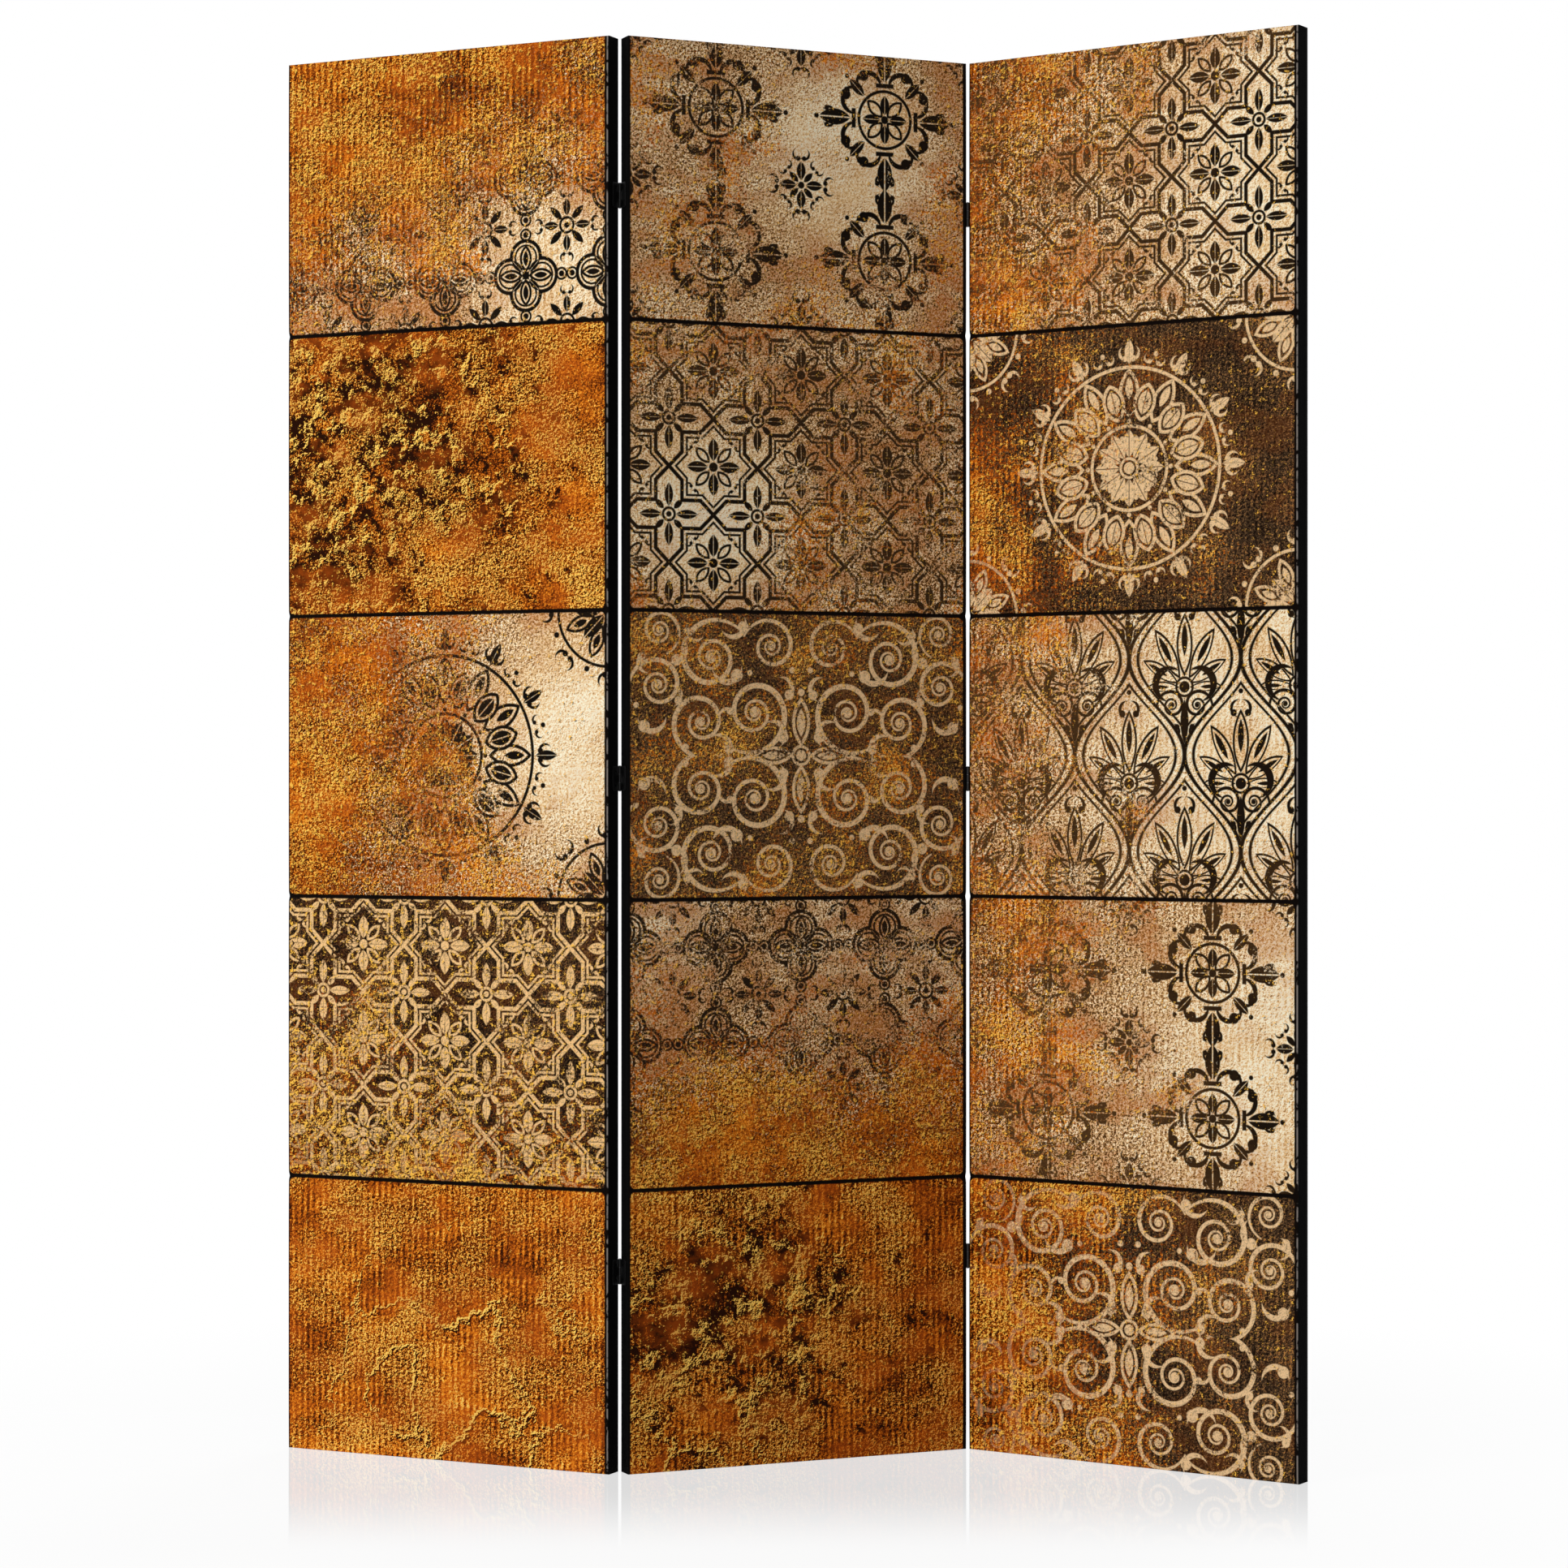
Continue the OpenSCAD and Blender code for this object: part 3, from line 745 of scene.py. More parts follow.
def painted_fold_highlight(across, up, p):
    """The painted highlight down the right fold, where the rounded edge catches the light."""
    line = ramp_up(abs(across - PANEL_W / 2 + 1.4), 1.3, 0.8)
    broken_up = ramp_up(noise(p, 14, 3, 0.6), 0.4, 0.5)
    off_seams = ramp_up(abs(up), PITCH / 2 - 3, PITCH / 2 - 6)
    return line * broken_up * off_seams * 0.7


def weave(place):
    """A plain weave whose threads are half a pitch thick."""
    across, depth, height = parts(place)
    warp = math_node("SINE", (across + depth) * (math.tau / WEAVE_PITCH))
    weft = math_node("SINE", height * (math.tau / WEAVE_PITCH))
    return warp * weft * 0.5 + 0.5


print("Seams, folds and weave ready")

# %% [markdown]
# A patch is the part of the print between two channels. Each could have its own picture, but they differ
# only in ground, ornament and wear, so one function with a few settings makes them all. The order is a
# gilder's: ground, gold, ink, loose leaf, and last the seams.

# %% One patch
# Shifts the noise, so that no two patches share their stains
SEED_STEP = (613.0, 377.0)


def printed_patch(name, row, ornament=None, ground="parchment", ink=SEPIA, gold_from=None, gold_share=0.3,
                  glow=None, dim=0.0, faded=0.35, seed=0, sand=2.2, ribs=0.1, veins=None, crust=None,
                  tone=0.0, loose=0.0, edge_highlight=True):
    """The finish of one patch of the print, between two channels of a panel.

    Gold covers the patch by gold_share, or more to one side by gold_from, (slope x, slope y, shift).
    Glow is (x, y, reach) of a bright place, dim a shadow to the left, faded the share of ornament worn
    away, tone a lighter or darker ground, and loose more flecks of gold. Sand and ribs are heights of the
    relief.
    """
    material, shader, place = finish_of(name, roughness=0.7, Specular_IOR_Level=0.05)
    across, _, height = parts(place)
    up = height - (CHANNELS[0] - PITCH / 2 + row * PITCH)
    local = point(across, up)
    p = vector_node("ADD", local, (seed * SEED_STEP[0], seed * SEED_STEP[1], 0))
    clouds = noise(p, 130, 4, 0.6)
    stain = noise(vector_node("MULTIPLY", p, (1, 1.4, 1)), 85, 5, 0.68)
    tones = math_node("MULTIPLY_ADD", clouds, 0.9, -0.04 + tone)
    if dim:
        tones = tones - ramp_up(across / PANEL_W + (clouds - 0.5) * 0.6, -0.15, -0.5) * dim
    picture, light, sandy = gilding(p, local, clouds, stain, tones, sand, ribs, veins, crust)
    loose_leaf = -0.02
    if ground != "gold":
        bright = near_place(local, clouds, *glow, unrest=1.2, inner=0.35) if glow else None
        mottle = (noise(p, 6.0, 4, 0.85) - 0.5) * 1.3 + (noise(p, 3.0, 2, 0.9) - 0.5) * 2.8
        if bright:
            mottle = mottle * (1.0 - bright * 0.6)
            tones = tones + bright * 0.34
        cover = gold_cover(local, clouds, bright, gold_share, gold_from)
        gilt = ramp_up(cover + (noise(p, 4.4, 3, 0.75) - 0.5) * 3.4, -0.07, 0.07)
        bare = aged_ground(ground == "parchment", tones, mottle, light, stain, bright)
        picture = stamped(blend(gilt, bare, picture), ornament, ink, faded, p, local, light, bright,
                          gilt, cover)
        loose_leaf = ramp_up(cover, -0.8, 0.6) * 0.06 + (loose - 0.02)
    picture = with_flecks(picture, p, sandy * 0.05 + loose_leaf)
    picture = blend(edges_and_seams(across, height, p), picture, SEAM_INK)
    # Painted highlight: a pale, broken line down the right fold, where the rounded edge catches the light.
    if edge_highlight:
        picture = blend(painted_fold_highlight(across, up, p), picture, FOLD_HIGHLIGHT)
    side = math_node("GREATER_THAN", abs(across), PANEL_W / 2 - 0.6)
    give(shader, "Base Color", blend(side, picture, BLACK_SIDE))
    raise_surface(shader, weave(place), WEAVE_DEPTH)
    return material


print("A patch is", PANEL_W, "by", PITCH, "mm")

# %% [markdown]
# Now the print is laid out like a quilt, from the bottom patch of each panel to the top one. Every patch is
# a set of values for the one recipe, which keeps them related. Gold leads on the left panel, and at the
# foot of the centre one, which has nets, scrolls and lilies above it. The right panel has three patches of
# parchment that glow towards its right edge, and two dark ones of umber.

# %% All patches
PATCHES = {
    "left": [
        dict(ground="gold", ribs=0.42, veins=(20, -70, 230), sand=2.2, seed=1, tone=0.04),
        dict(ornament=star_net, ground="umber", ink=STRAW, gold_from=(-0.5, -1.2, -0.45),
             faded=0.36, sand=4.0, loose=0.045, tone=-0.24, seed=2),
        dict(ornament=rosette_corners, gold_from=(-1.5, -0.2, 0.0), glow=(190, 20, 190), faded=0.34,
             seed=3),
        dict(ground="gold", crust=(-190, 60, 330), sand=2.9, seed=4, tone=0.0),
        dict(ornament=quatrefoil_net, gold_from=(-0.8, 1.6, 0.2), glow=(150, -120, 130), faded=0.38,
             ribs=0.45, seed=5)],
    "centre": [
        dict(ground="gold", ribs=0.45, crust=(-90, 20, 190), veins=(-140, -110, 160), sand=2.4, seed=6,
             edge_highlight=False),
        dict(ornament=quatrefoil_net, gold_from=(0.0, -1.8, -0.1), faded=0.4, seed=7, tone=0.04,
             edge_highlight=False),
        dict(ornament=scrolls, ground="umber", ink=CREAM, gold_share=0.22, faded=0.32, seed=8, tone=0.12,
             loose=0.02, edge_highlight=False),
        dict(ornament=star_net, ink=DUN, gold_share=0.16, glow=(-120, -60, 150), faded=0.36,
             seed=9, tone=0.04, edge_highlight=False),
        dict(ornament=lilies, gold_share=0.12, glow=(60, 40, 150), faded=0.36, seed=10, tone=0.04,
             edge_highlight=False)],
    "right": [
        dict(ornament=scrolls, ground="umber", ink=CREAM, gold_from=(-1.6, -0.1, -0.1), dim=0.12,
             faded=0.3, ribs=0.5, seed=11),
        dict(ornament=lilies, ink=BROWN, gold_from=(-1.0, 0.2, -0.4), glow=(230, -20, 250), dim=0.14,
             tone=0.04, faded=0.34, ribs=0.4, seed=12),
        dict(ornament=ogee_net, ink=BROWN, gold_from=(-0.7, 0.2, -0.5), glow=(200, 30, 340), dim=0.16,
             tone=0.06, faded=0.34, ribs=0.35, seed=13),
        dict(ornament=rosette_corners, ground="umber", ink=CREAM, gold_from=(-0.8, -0.2, -0.4), dim=0.12,
             faded=0.3, ribs=0.45, seed=14),
        dict(ornament=star_net, ink=BROWN, gold_from=(-1.0, 0.3, -0.35), glow=(220, 0, 250), dim=0.14,
             tone=0.04, faded=0.34, ribs=0.4, seed=15)]}

prints = {panel: [printed_patch(f"{panel}_print_{row + 1}", row, **patch) for row, patch in enumerate(rows)]
          for panel, rows in PATCHES.items()}
print("Patches:", sum(len(rows) for rows in prints.values()),
      "nodes:", sum(len(m.node_tree.nodes) for rows in prints.values() for m in rows))

# %% [markdown]
# The sides and the hem of the cover are plain black cloth, and the lining is a pressed one. Black as one
# flat colour would look like paint or a hole. A faint weave, a little lint and hardly any gloss make it
# cloth.


# %% Black cloth and lining
def black_cloth():
    """The black edge cloth, with lint."""
    material, shader, place = finish_of("black_cloth", roughness=0.95, Specular_IOR_Level=0.04)
    lint = noise(place, 6, 4, 0.7)
    give(shader, "Base Color", blend(ramp_up(lint, 0.45, 0.75), BLACK_SIDE, colour(11, 11, 11)))
    raise_surface(shader, weave(place), 0.15)
    return material


def lining_cloth():
    """Dark non-woven cloth, pressed with a grid of small dots."""
    dot_pitch, dot_r = 3, 0.55
    material, shader, place = finish_of("lining_cloth", roughness=0.9, Specular_IOR_Level=0.2)
    across, _, height = parts(place)
    flat = point(across, height)
    fibres = noise(vector_node("MULTIPLY", flat, (1, 0.25, 1)), 1.6, 3, 0.7)
    clouds = noise(flat, 60, 3, 0.6)
    dots = disc(point(*grid_fold(flat, dot_pitch, dot_pitch)), 0, 0, dot_r)
    shade = scale_of(fibres * 0.7 + clouds * 0.3, (0.3, colour(24, 24, 26)), (0.7, colour(52, 51, 54)))
    pressed = math_node("MULTIPLY_ADD", dots, -2.0, 0.5, clamp=True)
    give(shader, "Base Color", blend(pressed * 0.5, shade, colour(14, 14, 15)))
    raise_surface(shader, fibres - pressed * 0.8, 0.15)
    return material


black, lining_finish = black_cloth(), lining_cloth()
print("Cloths:", black.name, lining_finish.name)

# %% [markdown]
# The cover is one piece of cloth drawn tight over foam. Its front swells between the channels, dips into
# each one, and turns over a rounded edge onto the sides and the back. A cloth simulation would find this
# shape too, but slowly, and a tight cloth has hardly a fold to find. So the front is a height formula on a
# grid, whose rows crowd where the shape bends.

# %% Shape of the front
CHANNEL_DEPTH, CHANNEL_REACH = 1.8, 3.5
CROWN, CROWN_REACH = 0.6, 30
EDGE_ROLL, EDGE_REACH = 0.35, 18
# Puckers that the cloth draws beside a channel: their height, and where they are strongest
PUCKER, PUCKER_AT, PUCKER_REACH = 0.22, 9, 8


def gaussian(distance_mm, reach):
    """A soft hump of height 1 that has nearly gone at twice its reach."""
    return math.exp(-(distance_mm / reach) ** 2)


def dip(x, z):
    """How far the front lies below its crown, with small puckers beside each channel."""
    nearest = min(abs(z - c) for c in CHANNELS)
    ends = min(nearest, z, PANEL_H - z)
    edge = max(0.0, PANEL_W / 2 - abs(x))
    pucker = math.sin(x / 7.3 + z / 31) * math.sin(x / 17.9 - z / 23) * PUCKER
    drawn = gaussian(nearest - PUCKER_AT, PUCKER_REACH) * pucker * min(1, edge / 12)
    return (CHANNEL_DEPTH * gaussian(nearest, CHANNEL_REACH) + CROWN * math.exp(-ends / CROWN_REACH)
            + EDGE_ROLL * math.exp(-edge / EDGE_REACH) + max(drawn, -0.1))


def steps_to(length, first, growth):
    """Distances from 0 up to length whose steps grow, for rows that crowd near a channel."""
    places, step = [0.0], first
    while places[-1] + step < length - step:
        places.append(places[-1] + step)
        step *= growth
    return places


def front_rows():
    """Heights of the front grid's rows, close together at the channels and the ends."""
    stops = [FRONT_R] + CHANNELS + [PANEL_H - FRONT_R]
    rows = []
    for low, high in zip(stops, stops[1:]):
        half = (high - low) / 2
        near = steps_to(half, first=0.9, growth=1.24)
        rows += [low + s for s in near] + [high - s for s in reversed(near[1:])]
    return rows + [stops[-1]]


def front_columns():
    """Places of the front grid's columns, close together at both sides."""
    near = steps_to(PANEL_W / 2 - FRONT_R, first=1.2, growth=1.22)
    half = [-PANEL_W / 2 + FRONT_R + s for s in near]
    return half + [0] + [-x for x in reversed(half)]


ROWS, COLUMNS = front_rows(), front_columns()
print("Front grid:", len(COLUMNS), "by", len(ROWS))

# %% [markdown]
# Behind the front, the cover is a stack of rings that all have as many points as the front's rim. Each is
# the rim moved out, back or in: round the edge, along the side, round the back and over the hem. Stitching
# ring to ring keeps the faces even, and the print can end on a straight line where the black side begins.

# %% Cover
# The first rings still carry the print. The side and the hem take the material after the last patch.
PRINTED_RINGS, BLACK_SLOT = 3, FIELDS


def ring_place(x, z, inset):
    """Moves a place on the edge of the front grid so that it lies an inset from the panel's outline."""
    half_w, half_h = PANEL_W / 2, PANEL_H / 2
    return (x * (half_w - inset) / (half_w - FRONT_R),
            half_h + (z - half_h) * (half_h - inset) / (half_h - FRONT_R))


def cover_profile():
    """The rings as (inset, depth, whether the depth counts from the front's own height there)."""
    front_edge = [(FRONT_R * (1 - math.sin(a)), FRONT_R * (1 - math.cos(a)), True)
                  for a in (math.radians(d) for d in (22.5, 45, 67.5, 90))]
    side = [(0, y, False) for y in (-6, 0, 6)]
    back_edge = [(BACK_R * (1 - math.cos(a)), COVER_BACK - BACK_R * (1 - math.sin(a)), False)
                 for a in (math.radians(d) for d in (0, 45, 90))]
    hem = [(inset, COVER_BACK, False) for inset in (4, LINING_INSET + 1, 16, HEM_W)]
    return front_edge + side + back_edge + hem


def cover_mesh(panel):
    """The front grid of the cover, stitched to the rings round the edge, the sides and the hem."""
    across, up = len(COLUMNS), len(ROWS)
    points = [(x, FRONT + dip(x, z), z) for z in ROWS for x in COLUMNS]
    faces = [(j * across + i, j * across + i + 1, (j + 1) * across + i + 1, (j + 1) * across + i)
             for j in range(up - 1) for i in range(across - 1)]
    rim = (list(range(across)) + [j * across + across - 1 for j in range(1, up)]
           + [(up - 1) * across + i for i in range(across - 2, -1, -1)]
           + [j * across for j in range(up - 2, 0, -1)])
    printed = len(faces) + PRINTED_RINGS * len(rim)
    last = rim
    for inset, depth, follows in cover_profile():
        new = list(range(len(points), len(points) + len(rim)))
        for r in rim:
            x, y, z = points[r]
            px, pz = ring_place(x, z, inset)
            points.append((px, y + depth if follows else depth, pz))
        for k in range(len(rim)):
            n = (k + 1) % len(rim)
            faces.append((last[n], last[k], new[k], new[n]))
        last = new
    mesh = bpy.data.meshes.new(f"{panel}_cover")
    mesh.from_pydata([tuple(c * MM for c in p) for p in points], [], faces)
    for number, (polygon, corners) in enumerate(zip(mesh.polygons, faces)):
        height = sum(points[corner][2] for corner in corners) / 4
        polygon.material_index = sum(height > c for c in CHANNELS) if number < printed else BLACK_SLOT
    mesh.shade_smooth()
    for finish in (*prints[panel], black):
        mesh.materials.append(finish)
    return mesh


def thicken(piece, thickness):
    """Gives a sheet its thickness, on the side that its faces turn away from."""
    solid = piece.modifiers.new("thickness", "SOLIDIFY")
    solid.thickness = thickness * MM
    solid.offset = -1
    solid.use_even_offset = True


def piece_of(name, mesh, panel, replaced):
    """Puts a finished mesh in the scene in its panel's place, in the CAD node's stead."""
    piece = bpy.data.objects.new(name, mesh)
    bpy.context.scene.collection.objects.link(piece)
    piece.matrix_world = standing(panel)
    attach(piece, f"{panel}_panel")
    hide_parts(replaced)
    return piece


for panel in PANELS:
    cover = piece_of(f"{panel}_cover", cover_mesh(panel), panel, f"{panel}_panel_cover")
    thicken(cover, CLOTH_T)
    print(cover.name, len(cover.data.polygons), "faces")

# %% [markdown]
# The lining closes the back. It is a light cloth that is stapled round its edge, so it lies flat at each
# staple, lifts a hair between them, and sags a little in the middle where nothing carries it. These moves
# are under a millimetre, so a formula for the depth at each point of a grid is enough.

# %% Lining
# How far in the staples stand, and the number of gaps between them along each edge
STAPLE_IN = HEM_W / 2
GAPS_ACROSS, GAPS_UP = 4, 14
LIFT, LIFT_REACH, SAG, SAG_REACH = 0.3, 8, 0.8, 35
TURNED_W, TURNED_LIFT = 9, 0.15
# Distances of the grid's lines from the lining's edge
EDGE_STEPS = (0, 1, 3, 6, 9, 10, 14, 18, 24, 32)


def lining_point(x, z):
    """Where a point of the lining lies, between its staples or in the middle."""
    half_w, half_h = PANEL_W / 2, PANEL_H / 2
    from_side, from_end = half_w - abs(x), half_h - abs(z - half_h)
    edge = min(from_side, from_end)
    if from_end < from_side:
        along = x / (half_w - HEM_W - STAPLE_IN) * GAPS_ACROSS / 2
    else:
        along = (z - half_h) / (half_h - HEM_W - STAPLE_IN) * GAPS_UP / 2
    lift = LIFT * abs(math.sin(math.pi * along)) * gaussian(edge - STAPLE_IN, LIFT_REACH)
    sag = SAG * (1 - math.exp(-max(0, edge - HEM_W) / SAG_REACH))
    turned_edge = TURNED_LIFT if edge < LINING_INSET + TURNED_W else 0.0
    return x, LINING_BACK + lift - sag + turned_edge - TURNED_LIFT, z


def lining_mesh(panel):
    """The lining as one grid that is finer towards its turned edge."""
    half_w = PANEL_W / 2 - LINING_INSET
    columns = sorted({side * (half_w - step) for side in (-1, 1) for step in (*EDGE_STEPS, 46, 66)}
                     | {side * x for side in (-1, 1) for x in (0, 30, 60, 90, 120)})
    near = [LINING_INSET + step for step in EDGE_STEPS]
    rows = (near + list(np.linspace(near[-1] + 12, PANEL_H - near[-1] - 12, 112))
            + [PANEL_H - z for z in reversed(near)])
    points = [lining_point(x, z) for z in rows for x in columns]
    across = len(columns)
    faces = [(j * across + i, (j + 1) * across + i, (j + 1) * across + i + 1, j * across + i + 1)
             for j in range(len(rows) - 1) for i in range(across - 1)]
    mesh = bpy.data.meshes.new(f"{panel}_lining")
    mesh.from_pydata([tuple(c * MM for c in p) for p in points], [], faces)
    mesh.shade_smooth()
    mesh.materials.append(lining_finish)
    return mesh


for panel in PANELS:
    lining = piece_of(f"{panel}_lining", lining_mesh(panel), panel, f"{panel}_panel_lining")
    thicken(lining, LINING_T)
    print(lining.name, len(lining.data.polygons), "faces")

# %% [markdown]
# The foam pads aren't seen on the finished screen, but they give it its padded front and its damping.
# Each has a thick part between the timbers and a thin face over them. A box would do for the inside, but
# the face has to lie under the cover's swell. So both parts are rounded rectangles stacked from front to
# back, like slices of a loaf, and the first slices take their depth from the cover.

# %% Foam pads
STILE_W, RAIL_H, BAR_H = 32, 40, 28
# The gap between two pads, the fit between the timbers, the gap under the cloth, and the pads' corners
PAD_GAP, PAD_FIT, UNDER_CLOTH, PAD_R = 10, 0.6, 0.25, 3
FOAM_BACK = 9.0
# From the panel's outline to the timber, which the cloth and its clearance cover
FRAME_EDGE = 1


def foam_finish():
    """Dark foam with open cells, whose hollows are painted in shade."""
    material, shader, place = finish_of("foam_cells", roughness=0.95, Specular_IOR_Level=0.1)
    cells = place.tree.nodes.new("ShaderNodeTexVoronoi")
    cells.inputs["Scale"].default_value = 1 / 1.4
    plug(place.tree, cells.inputs["Vector"], place)
    # Painted shade: each cell's hollow is darker than its walls, and the bump also sinks it.
    pores = ramp_up(Number(place.tree, cells.outputs["Distance"]), 0.1, 0.6)
    give(shader, "Base Color", blend(pores, colour(52, 52, 56), colour(92, 92, 98)))
    raise_surface(shader, pores, 0.5)
    return material


def rounded_ring(half_w, low, high, r, count=5):
    """Points round a rectangle with rounded corners, from the lower left."""
    ring_points = []
    for cx, cz, start in ((-half_w + r, low + r, 180), (half_w - r, low + r, 270),
                          (half_w - r, high - r, 0), (-half_w + r, high - r, 90)):
        ring_points += [(cx + r * math.cos(math.radians(start + 90 * k / count)),
                         cz + r * math.sin(math.radians(start + 90 * k / count))) for k in range(count + 1)]
    return ring_points


def pad_rings(row):
    """The slices of one pad from the crown to the back, as (depth, half width, low, high, corner).

    A depth is a number, "cloth" for just under the cover, or "edge" for the rounded edge of the face.
    """
    bottom, top = row == 0, row == FIELDS - 1
    low = FRONT_R + PAD_FIT if bottom else CHANNELS[row - 1] + PAD_GAP / 2
    high = PANEL_H - FRONT_R - PAD_FIT if top else CHANNELS[row] - PAD_GAP / 2
    block_low = PAD_FIT + (FRAME_EDGE + RAIL_H if bottom else CHANNELS[row - 1] + BAR_H / 2)
    block_high = (PANEL_H - FRAME_EDGE - RAIL_H if top else CHANNELS[row] - BAR_H / 2) - PAD_FIT
    half = PANEL_W / 2 - FRONT_R - PAD_FIT
    block = PANEL_W / 2 - FRAME_EDGE - STILE_W - PAD_FIT
    crown = [("cloth", half - k, low + k, high - k, max(2, 8 - k))
             for k in (100, 60, 35, 20, 12, 6, 2.5, 0.8)]
    face = [("edge", half, low, high, PAD_R), (FRAME_FRONT - 0.4, half, low, high, PAD_R),
            (FRAME_FRONT, half - 0.4, low + 0.4, high - 0.4, PAD_R)]
    thick = [(FRAME_FRONT, block, block_low, block_high, PAD_R),
             (FOAM_BACK - 1, block, block_low, block_high, PAD_R),
             (FOAM_BACK, block - 1, block_low + 1, block_high - 1, PAD_R),
             (FOAM_BACK, block - 60, block_low + 60 - PAD_FIT, block_high - 60 + PAD_FIT, PAD_R)]
    return crown + face + thick


def foam_mesh(panel):
    """The five pads of a panel as one mesh."""
    points, faces = [], []
    for row in range(FIELDS):
        last = None
        for depth, half, low, high, r in pad_rings(row):
            start = len(points)
            for x, z in rounded_ring(half, low, high, r):
                under = FRONT + CLOTH_T + UNDER_CLOTH + dip(x, z)
                points.append((x, {"cloth": under, "edge": under + 0.5}.get(depth, depth), z))
            new = list(range(start, len(points)))
            if last is None:
                faces.append(new)
            else:
                faces += [(last[k - 1], last[k], new[k], new[k - 1]) for k in range(len(new))]
            last = new
        faces.append(list(reversed(last)))
    mesh = bpy.data.meshes.new(f"{panel}_foam")
    mesh.from_pydata([tuple(c * MM for c in p) for p in points], [], faces)
    mesh.shade_smooth()
    mesh.materials.append(foam)
    return mesh


foam = foam_finish()
for panel in PANELS:
    pads = piece_of(f"{panel}_foam", foam_mesh(panel), panel, f"{panel}_panel_foam_pads")
    print(pads.name, len(pads.data.polygons), "faces")

# %% [markdown]
# The rigid parts keep their CAD shapes and get a finish. Pine shows growth rings that run along each
# piece, so its noise is stretched along the grain and turned with the panel. The hinges and their screws
# are black paint with a fine orange peel and some dust. Staples and hinge pins are bright wire, whose
# drawing marks run up it.


# %% Finishes of the rigid parts
def pine(name, turn, upright):
    """Pine with rings along a piece that stands upright, or lies across a panel turned by some degrees."""
    material, shader, place = finish_of(name, roughness=0.6)
    spin = place.tree.nodes.new("ShaderNodeVectorRotate")
    spin.rotation_type = "Z_AXIS"
    spin.inputs["Angle"].default_value = math.radians(-turn)
    plug(place.tree, spin.inputs["Vector"], place)
    x, y, z = parts(Number(place.tree, spin.outputs[0]))
    along, wide = (z, x) if upright else (x, z)
    warp = noise(point(wide, along * 0.05), 22, 3, 0.5)
    rings = math_node("SINE", (wide + y * 0.35) * 0.9 + warp * 16)
    fine = noise(point(wide, along * 0.03), 0.6, 2, 0.6)
    shade = scale_of(rings * 0.22 + fine * 0.3 + 0.4, (0.2, colour(170, 118, 66)),
                     (0.5, colour(206, 162, 104)), (0.85, colour(229, 196, 142)))
    give(shader, "Base Color", shade)
    give(shader, "Roughness", math_node("MULTIPLY_ADD", fine, 0.2, 0.5))
    raise_surface(shader, fine, 0.1)
    return material


def black_paint():
    """Black paint of the hinges and screws, with dust."""
    material, shader, place = finish_of("black_paint", roughness=0.4, Specular_IOR_Level=0.4)
    fine = noise(place, 0.8, 2, 0.5)
    dust = noise(place, 5, 4, 0.7)
    give(shader, "Base Color", blend(ramp_up(dust, 0.5, 0.8), colour(9, 9, 10), colour(34, 33, 32)))
    give(shader, "Roughness", math_node("MULTIPLY_ADD", dust, 0.3, 0.28))
    raise_surface(shader, fine, 0.03)
    return material


def bright_wire():
    """Bare steel wire with drawing marks."""
    material, shader, place = finish_of("bright_wire", roughness=0.35, Metallic=1.0)
    marks = noise(vector_node("MULTIPLY", place, (1, 1, 0.1)), 0.5, 3, 0.6)
    give(shader, "Base Color", blend(marks, colour(150, 150, 155), colour(206, 206, 210)))
    give(shader, "Roughness", math_node("MULTIPLY_ADD", marks, 0.35, 0.2))
    raise_surface(shader, marks, 0.02)
    return material


paint, wire = black_paint(), bright_wire()
stile_pine = pine("pine_upright", 0, True)
rail_pine = {panel: pine(f"pine_{panel}_rails", TURNS[panel], False) for panel in PANELS}


def finish_for(name):
    """The finish of a CAD node, from what its name says it is."""
    if "_stile" in name:
        return stile_pine
    if "_rail" in name or "_bar" in name:
        return rail_pine[name.split("_panel")[0]]
    if name.endswith("_staples") or name.endswith("_pin"):
        return wire
    return paint


kept = [part for part in frame["nodes"].values() if not part.hide_render]
for part in kept:
    for material_slot in part.material_slots:
        material_slot.material = finish_for(part.name)
print("CAD nodes finished:", len(kept))

# %% [markdown]
# The floor is white paint on something smooth, which mirrors the foot of the screen faintly, and less and
# less towards the camera. Lamps strong enough to make it white would wash out the print. Instead the floor
# shows its own white to the camera, and takes light like a matt floor for everything else. It keeps a
# little of its shading near the screen, so that the shadow there stays.

# %% Floor
FLOOR_HALF = 12
# Its own white near the screen and far away, and the distances in metres between which it grows
OWN_WHITE, FAR_WHITE, WHITE_FROM, WHITE_TO = 0.92, 1.0, 0.6, 1.5
# The mirror's greatest share, and how far from the screen's middle, in metres, it is full and gone
MIRROR, MIRROR_FULL, MIRROR_NONE = 0.25, 0.15, 0.56


def mixed(tree, share, first, second):
    """A shader that is a mix of two others."""
    node = tree.nodes.new("ShaderNodeMixShader")
    plug(tree, node.inputs[0], share)
    tree.links.new(first.outputs[0], node.inputs[1])
    tree.links.new(second.outputs[0], node.inputs[2])
    return node


def plain(tree, kind, shade, **settings):
    """A simple shader of one kind and one grey."""
    node = tree.nodes.new(kind)
    node.inputs["Color"].default_value = (shade, shade, shade, 1)
    for socket, value in settings.items():
        node.inputs[socket].default_value = value
    return node


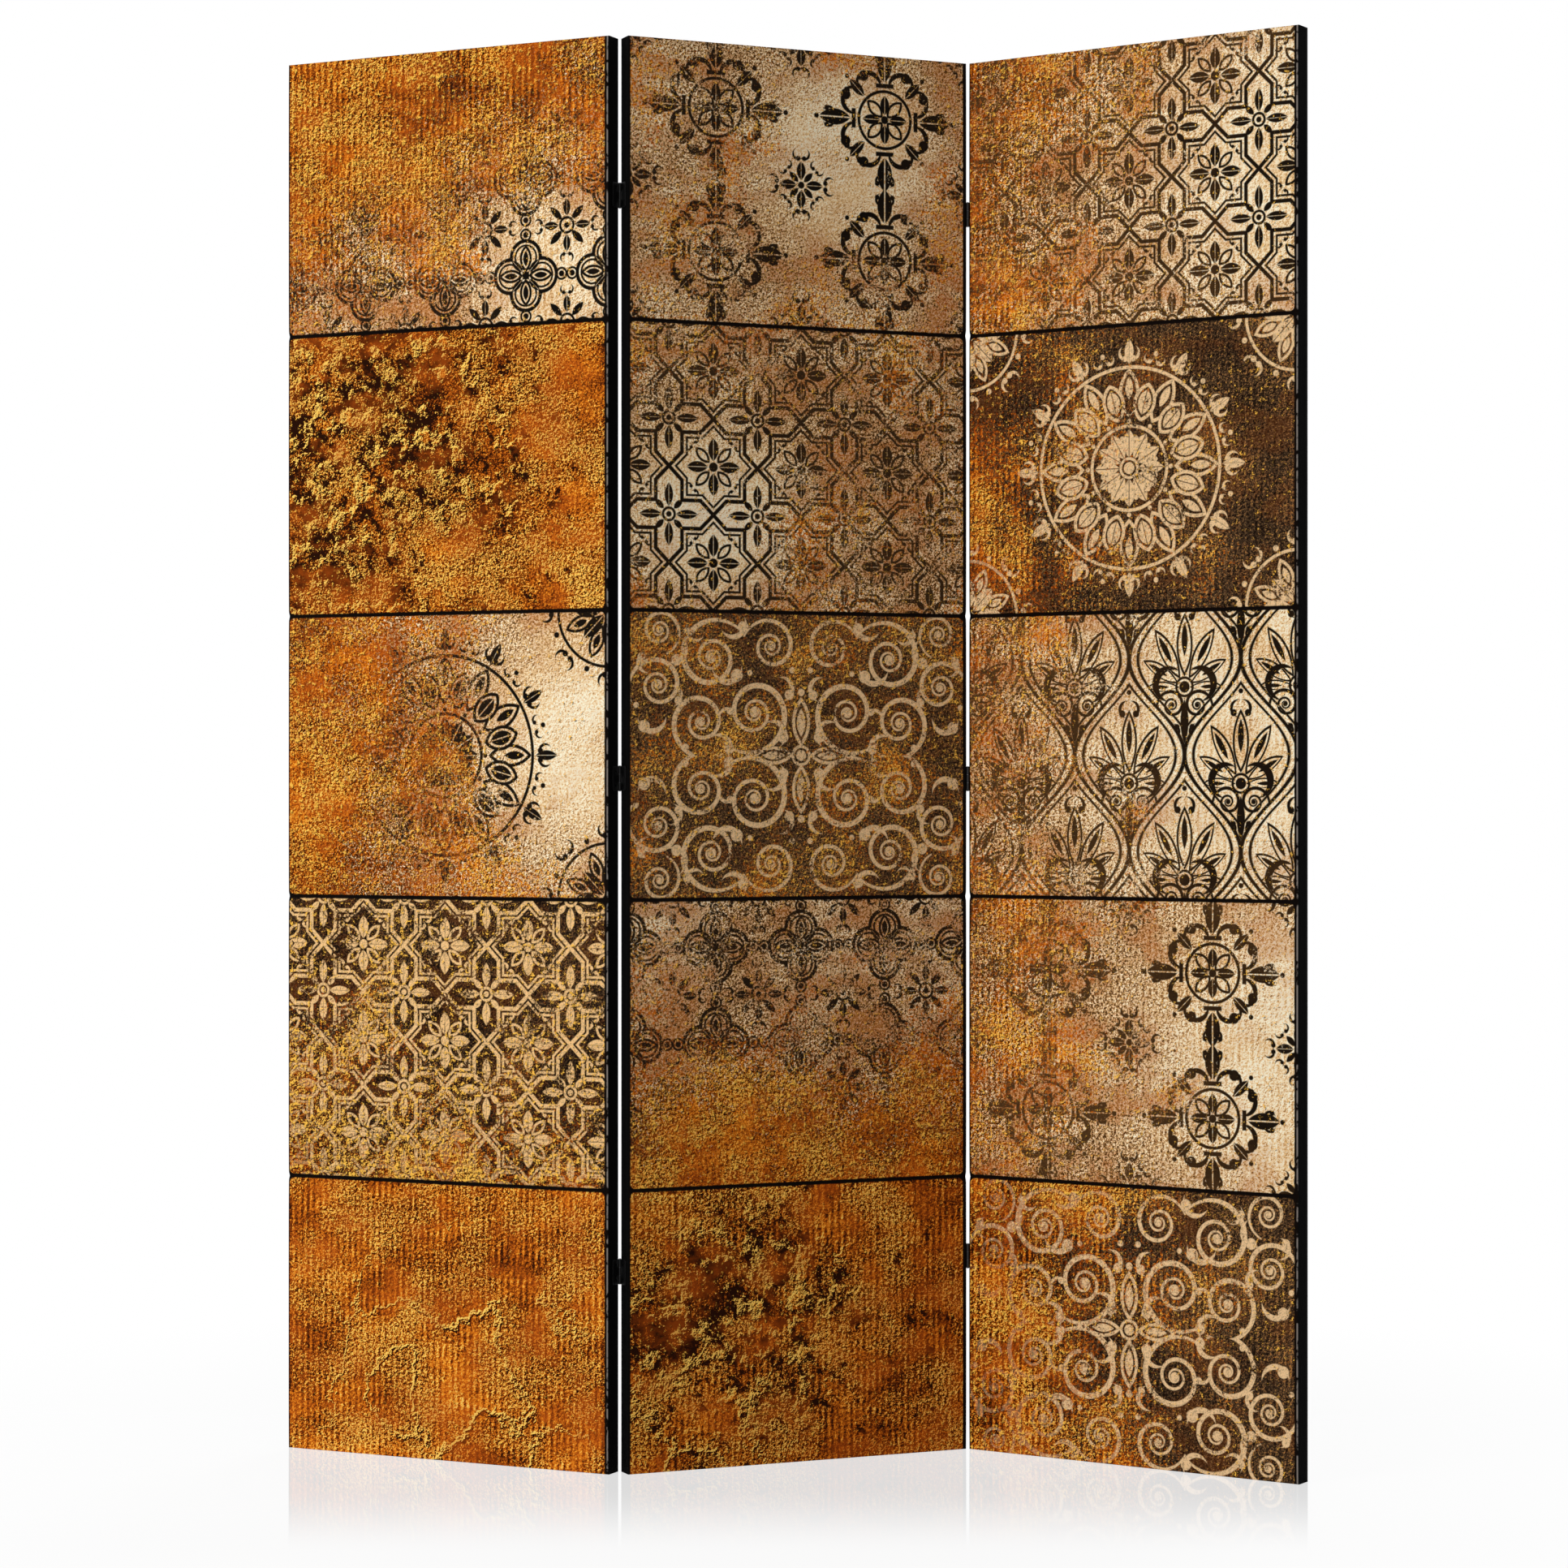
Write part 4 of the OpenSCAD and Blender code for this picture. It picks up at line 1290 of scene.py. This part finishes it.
def floor_finish():
    """White paint that takes light like a matt floor, and mirrors the foot of the screen."""
    material = bpy.data.materials.new("studio_floor")
    material.use_nodes = True
    tree = material.node_tree
    tree.nodes.clear()
    place = Number(tree, tree.nodes.new("ShaderNodeTexCoord").outputs["Object"])
    seen = tree.nodes.new("ShaderNodeLightPath").outputs
    shown = Number(tree, seen["Is Camera Ray"]) + Number(tree, seen["Is Glossy Ray"])
    away = ramp_up(vector_node("LENGTH", place, output=1), WHITE_FROM, WHITE_TO)
    white_share = math_node("MULTIPLY", shown, away * (FAR_WHITE - OWN_WHITE) + OWN_WHITE, clamp=True)
    ground = mixed(tree, white_share, plain(tree, "ShaderNodeBsdfDiffuse", 0.9),
                   plain(tree, "ShaderNodeEmission", 1.0))
    near = ramp_up(abs(parts(place)[1]), MIRROR_NONE, MIRROR_FULL)
    smooth = near * near * (3.0 - near * 2.0)
    polish = mixed(tree, smooth * MIRROR, ground, plain(tree, "ShaderNodeBsdfGlossy", 1.0, Roughness=0.04))
    out = tree.nodes.new("ShaderNodeOutputMaterial")
    tree.links.new(polish.outputs[0], out.inputs[0])
    return material


floor_mesh = bpy.data.meshes.new("studio_floor")
floor_corners = [(x * FLOOR_HALF, y * FLOOR_HALF, 0) for x, y in ((-1, -1), (1, -1), (1, 1), (-1, 1))]
floor_mesh.from_pydata(floor_corners, [], [(0, 1, 2, 3)])
floor_mesh.materials.append(floor_finish())
floor = bpy.data.objects.new("studio_floor", floor_mesh)
bpy.context.scene.collection.objects.link(floor)
print("Floor half width", FLOOR_HALF, "m")

# %% [markdown]
# The background is white too, but a white sky would also be a strong lamp from all sides. So the world is
# bright only for rays that come straight from the camera or off something shiny, and the rest get a dim,
# soft light. The key lamp stands in front and to the left, so it lights the two outer panels, which are
# turned to it, and leaves the centre one darker.

# %% World and lamps
AMBIENT = 0.33


def white_world():
    """White for rays that see the background itself, and dimmer white as soft light."""
    world = bpy.data.worlds.new("studio")
    world.use_nodes = True
    tree = world.node_tree
    sky = tree.nodes["Background"]
    sky.inputs["Color"].default_value = (1, 1, 1, 1)
    seen = tree.nodes.new("ShaderNodeLightPath").outputs
    direct = most(*(Number(tree, seen[f"Is {kind} Ray"]) for kind in ("Camera", "Glossy", "Transmission")))
    plug(tree, sky.inputs["Strength"], math_node("MULTIPLY_ADD", direct, 1 - AMBIENT, AMBIENT))
    bpy.context.scene.world = world


def lamp(name, azimuth, elevation, reach, size, watts):
    """A soft square lamp that looks at the middle of the screen from a side and a height."""
    light = bpy.data.lights.new(name, "AREA")
    light.size = size
    light.energy = watts
    holder = bpy.data.objects.new(name, light)
    bpy.context.scene.collection.objects.link(holder)
    a, e = math.radians(azimuth), math.radians(elevation)
    away = Vector((-math.sin(a) * math.cos(e), -math.cos(a) * math.cos(e), math.sin(e)))
    holder.location = Vector((0, 0, PANEL_H * MM / 2)) + away * reach
    holder.rotation_euler = away.to_track_quat("Z", "Y").to_euler()
    holder.visible_glossy = False
    return holder


white_world()
lamps = [lamp("key", azimuth=52, elevation=10, reach=8, size=3.5, watts=390),
         lamp("back_fill", azimuth=200, elevation=25, reach=8, size=3.5, watts=300)]
print("Lamps:", [holder.name for holder in lamps])
